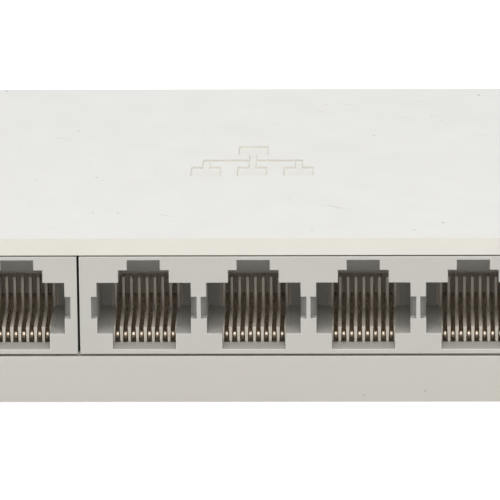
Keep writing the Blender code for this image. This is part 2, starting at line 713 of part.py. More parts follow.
def jack_tab_boxes(low, high, room=0.0):
    """The two soldered tabs of the power inlet: the pin's behind the body, the spring's under it."""
    thick = TAB_HALF_THICKNESS + room
    pin_y = FRONT + JACK_DEPTH + PIN_TAB_BEHIND
    spring_y = FRONT + JACK_DEPTH - SPRING_TAB_AHEAD
    return [
        ((JACK_X - TAB_HALF - room, y - thick, low), (JACK_X + TAB_HALF + room, y + thick, high))
        for y in (pin_y, spring_y)
    ]


def make_inlet():
    axis_z = JACK_AXIS_Z
    body = boxes(((JACK_X - JACK_HALF, FRONT, SEAT), (JACK_X + JACK_HALF, FRONT + JACK_DEPTH, JACK_TOP)))
    bore = rods(JACK_BORE, ((JACK_X, FRONT - MM, axis_z), (JACK_X, FRONT + JACK_BORE_DEPTH, axis_z)))
    pin_room = rods(
        JACK_PIN_RADIUS + GAP,
        ((JACK_X, FRONT + MM, axis_z), (JACK_X, FRONT + JACK_DEPTH + MM, axis_z)),
        segments=SMALL_CIRCLE,
    )
    side = SPRING_HALF + GAP
    near, far = FRONT + 2 * MM, FRONT + JACK_DEPTH - 2 * MM
    spring_room = boxes(((JACK_X - side, near, SPRING_SLOT_FLOOR), (JACK_X + side, far, axis_z)))
    terminal_room = boxes(jack_tab_boxes(SEAT - MM, SPRING_SLOT_FLOOR + MM, GAP)[1])
    make(
        "dc_jack_body",
        BLACK_PLASTIC,
        body,
        [(CUT, bore), (CUT, pin_room), (CUT, spring_room), (CUT, terminal_room)],
    )
    terminal = boxes(jack_tab_boxes(TAIL_END, SPRING_PIVOT_Z)[1])
    make("dc_jack_terminal", CONTACT_METAL, terminal)
    pin_tip = FRONT + JACK_PIN_SET_BACK
    pin_tab = jack_tab_boxes(TAIL_END, axis_z + PIN_TAB_RISE)[0]
    pin = rods(
        JACK_PIN_RADIUS,
        ((JACK_X, pin_tip, axis_z), (JACK_X, FRONT + JACK_DEPTH + PIN_TAB_BEHIND, axis_z)),
        segments=16,
    )
    make("dc_jack_pin", STEEL, pin, [(JOIN, boxes(pin_tab))])
    strip = facing_side(ribbon(SPRING_PATH, SPRING_THICKNESS), -SPRING_HALF, SPRING_HALF)
    make(
        "dc_jack_spring",
        CONTACT_METAL,
        strip,
        at=(JACK_X, FRONT + SPRING_PIVOT_DEPTH, SPRING_PIVOT_Z),
    )


def lead_row(count, pitch, place):
    """Boxes for a row of leads: place gives the (low, high) corners for a distance along the row."""
    return [place((number - (count - 1) / 2) * pitch, side) for number in range(count) for side in (-1, 1)]


def make_package(name, middle, size, leads_x, leads_y, pitch):
    """A moulded package with flat leads along two sides, or along all four. Sizes are in millimetres."""
    half_x, half_y, height = size[0] * MM / 2, size[1] * MM / 2, size[2] * MM
    low, high = (-half_x, -half_y, PACKAGE_LIFT), (half_x, half_y, height)
    body = rounded_block(low, high, PACKAGE_CORNER, segments=1)

    def along_x(at, side):
        low = (at - LEAD_HALF, side * half_y - LEAD_REACH, 0.0)
        return low, (at + LEAD_HALF, side * half_y + LEAD_REACH, LEAD_THICKNESS)

    def along_y(at, side):
        low = (side * half_x - LEAD_REACH, at - LEAD_HALF, 0.0)
        return low, (side * half_x + LEAD_REACH, at + LEAD_HALF, LEAD_THICKNESS)

    steps = [(JOIN, boxes(*lead_row(leads_x, pitch * MM, along_x)))]
    if leads_y:
        steps.append((JOIN, boxes(*lead_row(leads_y, pitch * MM, along_y))))
    make(name, CHIP_BLACK, body, steps, at=(middle[0] * MM, middle[1] * MM, SEAT))


def capacitor_leads():
    """Where the isolation capacitor's two leads go through the board."""
    x, y = DISC_PLACE
    return [(x - DISC_LEAD_SPREAD, y), (x + DISC_LEAD_SPREAD, y)]


def make_isolation_capacitor():
    centre = DISC_RADIUS + DISC_LIFT
    disc = rods(DISC_RADIUS, ((0, -DISC_HALF, centre), (0, DISC_HALF, centre)))
    feet = [(-DISC_LEAD_SPREAD, 0.0), (DISC_LEAD_SPREAD, 0.0)]
    leads = square_pins(feet, DISC_LEAD_HALF, TAIL_END - SEAT, DISC_LEAD_TOP)
    make("isolation_capacitor", CERAMIC_BLUE, disc, [(JOIN, leads)], at=(*DISC_PLACE, SEAT))


def make_board_parts():
    for package in PACKAGES:
        make_package(*package)
    x, y, height = CRYSTAL_HALF
    can = rounded_block((-x, -y, 0.0), (x, y, height), CRYSTAL_ROUND, CRYSTAL_CHAMFER)
    make("crystal", STEEL, can, at=(*CRYSTAL_PLACE, SEAT))
    half, height = INDUCTOR_HALF, INDUCTOR_HEIGHT
    core = rounded_block((-half, -half, 0.0), (half, half, height), INDUCTOR_ROUND, INDUCTOR_CHAMFER, 2)
    make("power_inductor", FERRITE, core, at=(*INDUCTOR_PLACE, SEAT))
    for name, place, radius, height in CAN_CAPACITORS:
        can = rods(radius, ((0, 0, 0), (0, 0, height)))
        make(name, CAPACITOR_SLEEVE, can, at=(*place, SEAT))
    make_isolation_capacitor()
    x, y, height = LAMP_HALF
    for name, place in zip(LED_NAMES, LED_X):
        lamp = rounded_block((-x, -y, 0.0), (x, y, height), LAMP_ROUND, segments=1)
        make(name, LED_RESIN, lamp, at=(place, LED_Y, SEAT))


def make_light_guide():
    """A clear bar with six fingers: each stands over a lamp and runs out through its window."""
    near, stub_back = LED_Y - GUIDE_STUB_HALF, LED_Y + GUIDE_STUB_HALF
    stub_low = SEAT + LAMP_HALF[2] + 0.4 * MM
    slant = GUIDE_SLANT
    profile = [
        (near, stub_low),
        (stub_back, stub_low),
        (stub_back, GUIDE_LOW),
        (BACK, GUIDE_LOW),
        (BACK, GUIDE_HIGH),
        (near + slant, GUIDE_HIGH),
        (near, GUIDE_HIGH - slant),
    ]
    fingers = repeated(facing_side(profile, -GUIDE_HALF, GUIDE_HALF), LED_X)
    bar_near, bar_far = GUIDE_BAR
    reach = LED_X[-1] + GUIDE_HALF / 2
    inset = 0.1 * MM
    bar = boxes(((-reach, bar_near, GUIDE_LOW + inset), (reach, bar_far, GUIDE_HIGH - inset)))
    make("light_guide", CLEAR_RESIN, fingers, [(JOIN, bar)])


clear_scene()
PARTS = new_collection("desktop_network_switch")
CUTTERS = new_collection("cutters")
CUT, JOIN = "DIFFERENCE", "UNION"

WHITE_PLASTIC = finish("white_plastic", (0.81, 0.80, 0.77), 0.45)
WHITE_NYLON = finish("white_nylon", (0.58, 0.56, 0.50), 0.5)
CARRIER_PLASTIC = finish("carrier_plastic", (0.60, 0.58, 0.52), 0.5)
CONTACT_METAL = finish("contact_metal", (0.72, 0.55, 0.30), 0.3, 1.0)
STEEL = finish("steel", (0.6, 0.6, 0.6), 0.35, 1.0)
RUBBER = finish("rubber", (0.30, 0.30, 0.30), 0.8)
LABEL = finish("label", (0.75, 0.75, 0.75), 0.5)
CIRCUIT_BOARD = finish("circuit_board", (0.03, 0.20, 0.06), 0.4)
BLACK_PLASTIC = finish("black_plastic", (0.02, 0.02, 0.02), 0.4)
CHIP_BLACK = finish("chip_black", (0.03, 0.03, 0.03), 0.5)
FERRITE = finish("ferrite", (0.10, 0.10, 0.10), 0.6)
CAPACITOR_SLEEVE = finish("capacitor_sleeve", (0.02, 0.05, 0.15), 0.35)
CERAMIC_BLUE = finish("ceramic_blue", (0.05, 0.18, 0.45), 0.4)
LED_RESIN = finish("led_resin", (0.80, 0.80, 0.70), 0.3)
CLEAR_RESIN = finish("clear_resin", (0.85, 0.87, 0.88), 0.1)

make_cover()
make_base()
make_feet()
make_label()
make_screws()
make_board()
make_port_block("port_block_single", SINGLE_X, SINGLE_WIDTH, [0.0], peg_places()[0])
make_port_block("port_block_quad", QUAD_X, QUAD_WIDTH, QUAD_OFFSETS, peg_places()[1])
for count, place in enumerate(port_places(), start=1):
    make_contact_set(count, place)
    make_contact_tray(count, place)
make_inlet()
make_board_parts()
make_light_guide()
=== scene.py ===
"""Looks of the desktop network switch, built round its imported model.

The housing, the jacks' blocks, the power inlet's body and the light guide are the model's own
surfaces with their edges rounded, and the seams round the jacks narrowed. The contact wires,
their carriers, the screws, the feet, the label, the power inlet's metal and the parts on the
board are modelled again here. Only the bare board is the model's, with nothing but a new finish.
"""

import json
import math
import random

import bmesh
import bpy
from mathutils import Matrix, Vector


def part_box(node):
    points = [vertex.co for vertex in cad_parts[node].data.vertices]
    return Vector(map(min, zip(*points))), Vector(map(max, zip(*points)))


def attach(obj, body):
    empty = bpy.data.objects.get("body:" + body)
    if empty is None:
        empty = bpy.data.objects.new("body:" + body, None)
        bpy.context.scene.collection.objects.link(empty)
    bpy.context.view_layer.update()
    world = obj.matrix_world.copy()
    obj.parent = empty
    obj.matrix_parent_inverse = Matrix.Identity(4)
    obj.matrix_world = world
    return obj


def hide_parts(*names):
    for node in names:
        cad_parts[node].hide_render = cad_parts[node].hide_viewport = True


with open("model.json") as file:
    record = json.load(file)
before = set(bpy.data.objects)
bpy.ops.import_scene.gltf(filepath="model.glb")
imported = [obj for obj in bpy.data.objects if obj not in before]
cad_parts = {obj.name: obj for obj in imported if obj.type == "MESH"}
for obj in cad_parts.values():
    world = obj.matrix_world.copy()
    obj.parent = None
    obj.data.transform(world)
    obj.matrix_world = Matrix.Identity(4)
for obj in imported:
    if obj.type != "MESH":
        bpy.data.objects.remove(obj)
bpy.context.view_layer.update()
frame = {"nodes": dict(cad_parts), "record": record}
NODES = frame["nodes"]
SLOTS = {part["node"]: part["material_slot"] for part in frame["record"]["subparts"]}
CHASSIS = "chassis"
MM = 0.001

# What the frame says about the housing. SEAT is the level that the jacks and lamps stand on,
# BASE_RIM the top of the base's wall below the jacks, and OPENING_TOP the cover's edge over them.
COVER_LOW, COVER_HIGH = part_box("top_cover")
BASE_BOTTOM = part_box("base_cover")[0].z
FRONT, BACK, SIDE, TOP = COVER_LOW.y, COVER_HIGH.y, COVER_HIGH.x, COVER_HIGH.z
PORT_COUNT = 5
TRAYS = [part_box(f"contact_tray_{number}") for number in range(1, PORT_COUNT + 1)]
PORT_X = [(low.x + high.x) / 2 for low, high in TRAYS]
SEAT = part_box("led_power")[0].z
CLEARANCE = 0.3 * MM
BASE_RIM = SEAT - 0.5 * MM
OPENING_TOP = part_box("port_block_quad")[1].z + CLEARANCE

# Camera: its aim on the port face, and where it stands from there
CAMERA_AIM = Vector((0.4 * MM, FRONT, 20.95 * MM))
CAMERA_DISTANCE = 788.9 * MM
CAMERA_RISE = math.radians(17.98)
CAMERA_TURN = math.radians(-1.47)
CAMERA_ROLL = math.radians(-0.55)
CAMERA_LENS = 447.8
CAMERA_CLIP = (0.05, 20.0)

# Rounded edges, and what counts as an edge, a corner, a flat and one place
EDGE_SHARP = math.radians(30)
SMOOTH_ANGLE = math.radians(35)
CORNER_ANGLE = math.radians(60)
FLAT_ANGLE = math.radians(0.5)
WELD = 0.001 * MM
COVER_EDGE = 0.2 * MM
BLOCK_EDGE = 0.1 * MM
INLET_EDGE = 0.2 * MM
GUIDE_EDGE = 0.12 * MM
SMALL_EDGE = 0.06 * MM
PLANE_SLACK = 0.02 * MM

# Seams round the jacks: the cover comes down, the base comes up, and a ledge stands behind
COVER_DROP, BASE_RISE = 0.13 * MM, 0.17 * MM
SILL_SET_BACK, SILL_THICKNESS = 0.9 * MM, 0.5 * MM
SILL_LAP, SILL_DROP = 0.1 * MM, 0.02 * MM

# Faces of the housing and blocks with a look of their own, by slope (normal z) or by depth
UPRIGHT_SLOPE, BEVEL_SLOPE, FLAT_SLOPE = 0.3, 0.97, 0.99
BEVEL_DEPTH = 1.8 * MM
MARK_DEPTHS = (0.1 * MM, 0.3 * MM)
BLOCK_SKIN = 0.5 * MM

# Studio light: each lamp over the port side has its rise in degrees and its power
SKY_STRENGTH, SKY_HORIZON = 1.29, 0.0
LAMP_SIZE, LAMP_DISTANCE = 0.5, 1.0
LAMPS = {"low": (35.0, 1.8), "high": (73.0, 2.2)}
BELOW_SIZE, BELOW_POWER = 0.12, 4.5
FLOOR_SIZE, FLOOR_BOUNCE, FLOOR_GLOW = 1.5, 0.50, 0.80

# Power inlet: the (y, z) that its spring leaf turns about, the leaf's (y, z) bends from there,
# and its pin, whose rear tab rises past the pin's axis
SPRING_PIVOT = (FRONT + 9.5 * MM, 9.6 * MM)
SPRING_BENDS = (
    (0.0, 0.0), (-2.5 * MM, 0.9 * MM), (-4.0 * MM, 1.25 * MM),
    (-5.2 * MM, 0.6 * MM), (-6.6 * MM, 0.3 * MM),
)
SPRING_THICKNESS = 0.35 * MM
PIN_RADIUS, PIN_ROUND = 1.0 * MM, 0.5 * MM
TAB_THICKNESS, TAB_RISE, TAB_EDGE = 0.6 * MM, 1.5 * MM, 0.1 * MM

# Contact wires, which turn back at a (y, z) bend and lean up from there
WIRE_COUNT = 8
WIRE_PITCH = 1.016 * MM
WIRE_WIDTH = 0.42 * MM
WIRE_THICKNESS = 0.35 * MM
WIRE_BEND = Vector((FRONT + 3.8 * MM, SEAT + 1.42 * MM))
HAIRPIN_RADIUS, HAIRPIN_BACK = 0.55 * MM, 0.15 * MM
ARM_DEGREES = 20.0
ARM_REACH = 7.35 * MM
FOOT_DROP = 0.7 * MM
FOOT_BACK = 1.0 * MM

# Carriers: ribs, plate, comb, rear wall and lintel, side posts and cheeks, floor, and tails
RIB_TOP_WIDTH, RIB_LOW_WIDTH = 0.47 * MM, 0.30 * MM
RIB_NEAR, RIB_TOP = FRONT + 3.2 * MM, SEAT + 2.6 * MM
RIB_EDGE, RIB_LAP = 0.07 * MM, 0.2 * MM
GROOVE_FLOOR = SEAT + 1.2 * MM
PLATE_NEAR = FRONT + 4.9 * MM
COMB_NEAR, COMB_FAR, COMB_TOP = FRONT + 10.8 * MM, FRONT + 13.3 * MM, SEAT + 6.8 * MM
COMB_WIDTH = 0.36 * MM
LINTEL_NEAR = FRONT + 12.3 * MM
TRAY_BACK, TRAY_TOP = FRONT + 15.7 * MM, SEAT + 7.36 * MM
NOTCH_HALF, POST_HALF, SLOT_HALF = 4.05 * MM, 4.15 * MM, 4.58 * MM
FLOOR_DOWN, FLOOR_UP = 0.2 * MM, 0.12 * MM
CAVITY_NEAR, CAVITY_FAR = FRONT + 3.05 * MM, FRONT + 11.5 * MM
PLUG_FLOOR = SEAT + 2.75 * MM
TAIL_BOTTOM = 4.4 * MM
TAIL_ROWS = (FRONT + 12.6 * MM, FRONT + 15.0 * MM)
TAIL_HALF, TAIL_EDGE, TAIL_RIM = 0.25 * MM, 0.08 * MM, 0.1 * MM

# Moulded plastic: the sizes of its clouds, scuffs, specks and worn patches, where in the noise
# the scuffs and specks start and are full, how dark they are, and how long the scuffs are drawn
CLOUD_SIZE, SCUFF_SIZE, SPECK_SIZE, PATCH_SIZE = 14 * MM, 9 * MM, 1.1 * MM, 5 * MM
SCUFF_RANGE, SPECK_RANGE = (0.70, 0.76), (0.775, 0.80)
SCUFF_SHADE, SPECK_SHADE, SPECK_SHARE = 0.6, 0.45, 1.6
SCUFF_TURN, SCUFF_STRETCH = 0.5, (1.0, 14.0, 1.0)

# Metal: its tarnish, the drawn lines' size and depth, and the painted shade that darkens the wires
# below their bend
METAL_TARNISH, STAIN_SIZE = 0.15, 1.5 * MM
METAL_GRAIN, METAL_LINE_DEPTH, METAL_STRETCH = 0.4 * MM, 0.002 * MM, (1.0, 0.08, 1.0)
PAINTED_SHADE_TOP, PAINTED_SHADE_FADE, PAINTED_SHADE_SHARE = WIRE_BEND.y + 0.06 * MM, 0.2 * MM, 0.5

# Fixings
SCREW_HEAD_RADIUS, SCREW_HEAD_HEIGHT, SCREW_RADIUS = 2.6 * MM, 1.7 * MM, 1.3 * MM
SCREW_HEAD_ROUND = 0.9 * MM
THREAD_PITCH, THREAD_DEPTH, THREAD_START = 0.9 * MM, 0.22 * MM, 0.4 * MM
CROSS_HALF, CROSS_REACH, CROSS_DEPTH = 0.32 * MM, 1.5 * MM, 0.9 * MM

# Leads of the packages on the board; their level is a share of the package's height
LEAD_HALF, LEAD_THICKNESS, LEAD_REACH = 0.17 * MM, 0.16 * MM, 0.98 * MM
LEAD_EDGE, LEAD_LEVEL, LEAD_LAP = 0.03 * MM, 0.4, 0.1 * MM


# ---- materials: each is a node graph in the object's own coordinates ----------------------------


def node(look, kind, inputs=None, **settings):
    """Adds a shader node. An input is a value, or another node's output socket."""
    made = look.node_tree.nodes.new(kind)
    for name, value in settings.items():
        setattr(made, name, value)
    for name, value in (inputs or {}).items():
        if isinstance(value, bpy.types.NodeSocket):
            look.node_tree.links.new(value, made.inputs[name])
        else:
            made.inputs[name].default_value = value
    return made


def blank(name):
    """A new material, its shader, and its object coordinates."""
    look = bpy.data.materials.new(name)
    look.use_nodes = True
    shader = look.node_tree.nodes["Principled BSDF"]
    place = node(look, "ShaderNodeTexCoord").outputs["Object"]
    return look, shader, place


def wire_up(look, output, socket):
    """Links a node's output to an input."""
    look.node_tree.links.new(output, socket)


def grey(value):
    """An opaque grey."""
    return (value, value, value, 1.0)


def noise(look, place, size, detail=2.0, rough=0.5):
    """Noise whose features are about this many metres across."""
    inputs = {"Vector": place, "Scale": 1.0 / size, "Detail": detail, "Roughness": rough}
    return node(look, "ShaderNodeTexNoise", inputs).outputs["Fac"]


def spread(look, value, low, high, to_low=0.0, to_high=1.0):
    """Maps a range of a value to another range, held at its ends."""
    inputs = {
        "Value": value, "From Min": low, "From Max": high, "To Min": to_low, "To Max": to_high,
    }
    return node(look, "ShaderNodeMapRange", inputs).outputs["Result"]


def mixed(look, share, first, second):
    """A mix of two colours. The colour sockets of the mix node are its inputs 6 and 7."""
    made = node(look, "ShaderNodeMix", data_type="RGBA")
    for place, value in ((0, share), (6, first), (7, second)):
        socket = made.inputs[place]
        if isinstance(value, bpy.types.NodeSocket):
            wire_up(look, value, socket)
        else:
            socket.default_value = value
    return made.outputs[2]


def bump(look, height, depth):
    """A bump this many metres deep."""
    inputs = {"Height": height, "Distance": depth, "Strength": 1.0}
    return node(look, "ShaderNodeBump", inputs).outputs["Normal"]


def stretched(look, place, turn, scale):
    """Coordinates turned about Z, then stretched."""
    turned_place = node(look, "ShaderNodeMapping", {"Vector": place, "Rotation": (0.0, 0.0, turn)})
    stretch = node(look, "ShaderNodeMapping", {"Vector": turned_place.outputs[0], "Scale": scale})
    return stretch.outputs[0]


def moulded(name, colour, roughness, grain, depth, wear=0.0, mottle=0.03):
    """Moulded plastic: mottled colour, fine grain, and where asked faint scuffs and specks."""
    look, shader, place = blank(name)
    dark = tuple(part * (1 - mottle) for part in colour)
    light = tuple(min(part * (1 + mottle), 1.0) for part in colour)
    paint = mixed(look, noise(look, place, CLOUD_SIZE, 3.0), (*dark, 1.0), (*light, 1.0))
    if wear:
        drawn = stretched(look, place, SCUFF_TURN, SCUFF_STRETCH)
        scuffs = spread(look, noise(look, drawn, SCUFF_SIZE, 4.0), *SCUFF_RANGE, 0.0, wear)
        paint = mixed(look, scuffs, paint, (*[part * SCUFF_SHADE for part in colour], 1.0))
        dots = noise(look, place, SPECK_SIZE, 1.0)
        specks = spread(look, dots, *SPECK_RANGE, 0.0, wear * SPECK_SHARE)
        paint = mixed(look, specks, paint, (*[part * SPECK_SHADE for part in colour], 1.0))
    wire_up(look, paint, shader.inputs["Base Color"])
    patches = noise(look, place, PATCH_SIZE, 4.0)
    worn = spread(look, patches, 0.3, 0.7, roughness - 0.05, roughness + 0.06)
    wire_up(look, worn, shader.inputs["Roughness"])
    wire_up(look, bump(look, noise(look, place, grain, 2.0), depth), shader.inputs["Normal"])
    return look


def metal(name, colour, roughness, painted_shade_below=None):
    """Plated metal: tarnish, drawn lines along Y, uneven gloss, and painted shade below a level if
    asked.
    """
    look, shader, place = blank(name)
    dull = tuple(part * (1 - METAL_TARNISH) for part in colour)
    stain = spread(look, noise(look, place, STAIN_SIZE, 4.0), 0.35, 0.7)
    paint = mixed(look, stain, (*colour, 1.0), (*dull, 1.0))
    if painted_shade_below is not None:
        # painted shade: below the level the colour goes towards black, standing in for the shaded
        # underside of the wires' bend
        height = node(look, "ShaderNodeSeparateXYZ", {0: place}).outputs["Z"]
        share = spread(look, height, painted_shade_below - PAINTED_SHADE_FADE, painted_shade_below, PAINTED_SHADE_SHARE, 1.0)
        paint = mixed(look, share, grey(0.0), paint)
    wire_up(look, paint, shader.inputs["Base Color"])
    shader.inputs["Metallic"].default_value = 1.0
    lines = noise(look, stretched(look, place, 0.0, METAL_STRETCH), METAL_GRAIN, 2.0)
    gloss = spread(look, lines, 0.3, 0.7, roughness * 0.8, roughness * 1.3)
    wire_up(look, gloss, shader.inputs["Roughness"])
    wire_up(look, bump(look, lines, METAL_LINE_DEPTH), shader.inputs["Normal"])
    return look


def rubber(name, colour):
    """Matt rubber: cloudy with dust, and finely pitted."""
    look, shader, place = blank(name)
    cloud = noise(look, place, 2 * MM, 5.0, 0.7)
    dusty = tuple(part + 0.05 for part in colour)
    wire_up(look, mixed(look, cloud, (*colour, 1.0), (*dusty, 1.0)), shader.inputs["Base Color"])
    shader.inputs["Roughness"].default_value = 0.8
    wire_up(look, bump(look, noise(look, place, 0.3 * MM, 3.0), 0.02 * MM), shader.inputs["Normal"])
    return look


def clear(name, colour, roughness):
    """Clear moulded resin with a slightly wavy surface."""
    look, shader, place = blank(name)
    shader.inputs["Base Color"].default_value = (*colour, 1.0)
    shader.inputs["Transmission Weight"].default_value = 0.92
    shader.inputs["IOR"].default_value = 1.49
    wave = noise(look, place, 2 * MM, 1.0)
    uneven = spread(look, wave, 0.3, 0.7, roughness, roughness + 0.06)
    wire_up(look, uneven, shader.inputs["Roughness"])
    wire_up(look, bump(look, wave, 0.01 * MM), shader.inputs["Normal"])
    return look


def solder_mask(name):
    """Green mask over copper lines that run along the board, with round lands dotted about."""
    look, shader, place = blank(name)
    bricks = {"Vector": place, "Scale": 1.0, "Mortar Size": 0.12 * MM, "Mortar Smooth": 0.3,
              "Brick Width": 7.3 * MM, "Row Height": 0.9 * MM}
    lines = node(look, "ShaderNodeTexBrick", bricks).outputs["Fac"]
    cells = node(look, "ShaderNodeTexVoronoi", {"Vector": place, "Scale": 1.0 / (4.1 * MM)})
    lands = spread(look, cells.outputs["Distance"], 0.09, 0.11, 1.0, 0.0)
    mask = mixed(look, lines, (0.012, 0.13, 0.035, 1.0), (0.03, 0.24, 0.07, 1.0))
    wire_up(look, mixed(look, lands, mask, (0.55, 0.50, 0.38, 1.0)), shader.inputs["Base Color"])
    shader.inputs["Roughness"].default_value = 0.35
    raised = node(look, "ShaderNodeMath", {0: lines, 1: lands}, operation="MAXIMUM").outputs[0]
    wire_up(look, bump(look, raised, 0.03 * MM), shader.inputs["Normal"])
    return look


def printed_film(name):
    """A silver film with plain printed rules that frame blank boxes, and no lettering."""
    look, shader, place = blank(name)
    bricks = {"Vector": place, "Scale": 1.0, "Mortar Size": 0.14 * MM, "Mortar Smooth": 0.1,
              "Brick Width": 17.0 * MM, "Row Height": 4.2 * MM}
    rule = node(look, "ShaderNodeTexBrick", bricks, offset=0.0).outputs["Fac"]
    cloud = noise(look, place, 6 * MM, 3.0)
    film = mixed(look, cloud, grey(0.58), grey(0.66))
    wire_up(look, mixed(look, rule, film, grey(0.12)), shader.inputs["Base Color"])
    shader.inputs["Roughness"].default_value = 0.5
    wire_up(look, bump(look, noise(look, place, 0.8 * MM, 2.0), 0.01 * MM), shader.inputs["Normal"])
    return look


# The jacks' grey, and a copy of it darkened by painted shade for the faces inside the jacks
JACK_GREY, INSIDE_PAINTED_SHADE = (0.74, 0.72, 0.66), 0.67
JACK_SHADED_GREY = tuple(part * INSIDE_PAINTED_SHADE for part in JACK_GREY)
LOOKS = {
    "white_plastic": moulded(
        "housing_white", (0.75, 0.745, 0.715), 0.42, 0.22 * MM, 0.005 * MM, 0.40, 0.012
    ),
    "white_nylon": moulded("jack_nylon", JACK_GREY, 0.48, 0.3 * MM, 0.004 * MM, 0.0, 0.02),
    "carrier_plastic": moulded("carrier_nylon", (0.80, 0.735, 0.64), 0.5, 0.2 * MM, 0.003 * MM),
    "contact_metal": metal("contact_metal", (0.56, 0.46, 0.36), 0.28, PAINTED_SHADE_TOP),
    "steel": metal("plated_steel", (0.62, 0.62, 0.60), 0.3),
    "rubber_foot": rubber("grey_rubber", (0.10, 0.10, 0.10)),
    "label": printed_film("label_film"),
    "circuit_board": solder_mask("circuit_board"),
    "black_plastic": moulded("black_plastic", (0.02, 0.02, 0.02), 0.38, 0.25 * MM, 0.006 * MM),
    "chip_black": moulded(
        "package_black", (0.025, 0.025, 0.028), 0.55, 0.12 * MM, 0.006 * MM, 0.0, 0.2
    ),
    "ferrite": moulded("ferrite", (0.06, 0.06, 0.065), 0.6, 0.15 * MM, 0.02 * MM, 0.0, 0.2),
    "capacitor_sleeve": moulded("capacitor_sleeve", (0.015, 0.03, 0.09), 0.3, 0.6 * MM, 0.01 * MM),
    "ceramic_blue": moulded("dipped_blue", (0.04, 0.16, 0.42), 0.28, 0.9 * MM, 0.05 * MM, 0.0, 0.1),
    "led_resin": clear("lamp_resin", (0.93, 0.92, 0.85), 0.15),
    "clear_resin": clear("guide_resin", (0.93, 0.95, 0.96), 0.12),
}
# Painted shade: the cover's chamfer band as a darker, warmer copy of the housing white, to stand in
# for how the light falls on its slope
BAND_PAINTED_SHADE = moulded("housing_band_painted_shade", (0.657, 0.632, 0.566), 0.36, 0.3 * MM, 0.004 * MM, 0.0, 0.012)
BASE_WHITE = moulded("base_white", (0.785, 0.753, 0.69), 0.42, 0.22 * MM, 0.005 * MM, 0.2, 0.012)
# Painted shade: the jack grey darkened for the faces inside the jacks and the cheeks of their
# cavities
JACK_PAINTED_SHADE = moulded("jack_painted_shade", JACK_SHADED_GREY, 0.5, 0.3 * MM, 0.004 * MM)
MARK_TINT = moulded("mark_floor", (0.715, 0.71, 0.665), 0.45, 0.2 * MM, 0.005 * MM, 0.0, 0.012)
LEAD_TIN = metal("tinned_lead", (0.66, 0.66, 0.64), 0.35)
ALUMINIUM = metal("can_aluminium", (0.78, 0.78, 0.78), 0.35)
COPPER = metal("winding_copper", (0.70, 0.32, 0.16), 0.35)


# ---- mesh helpers -------------------------------------------------------------------------------


def as_mesh(bm, name="shape"):
    """A mesh datablock from an edit mesh, which is used up."""
    mesh = bpy.data.meshes.new(name)
    bm.to_mesh(mesh)
    bm.free()
    return mesh


def add_object(name, mesh, look):
    """Puts a mesh in the scene with one material."""
    piece = bpy.data.objects.new(name, mesh)
    bpy.context.scene.collection.objects.link(piece)
    mesh.materials.clear()
    mesh.materials.append(look)
    return piece


def boxes(*corners):
    """One box for each (low corner, high corner)."""
    bm = bmesh.new()
    for low, high in corners:
        low, high = Vector(low), Vector(high)
        place = Matrix.Translation((low + high) / 2) @ Matrix.Diagonal((*(high - low), 1.0))
        bmesh.ops.create_cube(bm, size=1.0, matrix=place)
    return bm


def sharp_edges(bm, angle=EDGE_SHARP, wanted=None):
    """Edges that fold outwards by at least an angle and, if there is a test, pass it."""
    found = []
    for edge in bm.edges:
        if len(edge.link_faces) != 2 or edge.calc_face_angle_signed() < angle:
            continue
        if wanted is None or wanted(edge):
            found.append(edge)
    return found


def round_edges(bm, edges, width, segments=2):
    """Bevels some edges to a round profile of this width."""
    bmesh.ops.bevel(
        bm, geom=edges, offset=width, segments=segments, profile=0.5, affect="EDGES",
        clamp_overlap=True,
    )


def rounded_box(low, high, upright, rim, segments=4):
    """A box with round upright corners and a softened rim at its top and bottom."""
    bm = boxes((low, high))
    height = high[2] - low[2]
    corners = [e for e in bm.edges if abs(e.verts[0].co.z - e.verts[1].co.z) > height / 2]
    round_edges(bm, corners, upright, segments)
    rims = [e for e in bm.edges if abs(e.calc_face_angle(0.0)) > CORNER_ANGLE]
    round_edges(bm, rims, rim, 2)
    return bm


def turned(profile, steps=32, ripple=None):
    """A closed turned solid about Z from (radius, z) points, both ends on the axis."""
    bm = bmesh.new()
    rings = []
    for radius, z in profile:
        if radius == 0.0:
            rings.append([bm.verts.new((0.0, 0.0, z))])
            continue
        ring = []
        for step in range(steps):
            angle = 2 * math.pi * step / steps
            here = radius + (ripple(angle, z) if ripple else 0.0)
            ring.append(bm.verts.new((here * math.cos(angle), here * math.sin(angle), z)))
        rings.append(ring)
    for lower, upper in zip(rings, rings[1:]):
        for step in range(steps):
            after = (step + 1) % steps
            corners = [lower[step % len(lower)], lower[after % len(lower)],
                       upper[after % len(upper)], upper[step % len(upper)]]
            bm.faces.new(list(dict.fromkeys(corners)))
    bmesh.ops.recalc_face_normals(bm, faces=bm.faces)
    return bm


def arc(centre, radius, start, end, steps=5):
    """Points of an arc about a centre in a profile's plane, with its angles in degrees."""
    points = []
    for step in range(steps + 1):
        angle = math.radians(start + (end - start) * step / steps)
        points.append((centre[0] + radius * math.cos(angle), centre[1] + radius * math.sin(angle)))
    return points


def moved(bm, place):
    """The same mesh, moved by a matrix."""
    bmesh.ops.transform(bm, matrix=place, verts=bm.verts)
    return bm


def gathered(*parts):
    """Several meshes as one, which are then used up."""
    whole = bmesh.new()
    for part in parts:
        mesh = as_mesh(part)
        whole.from_mesh(mesh)
        bpy.data.meshes.remove(mesh)
    return whole


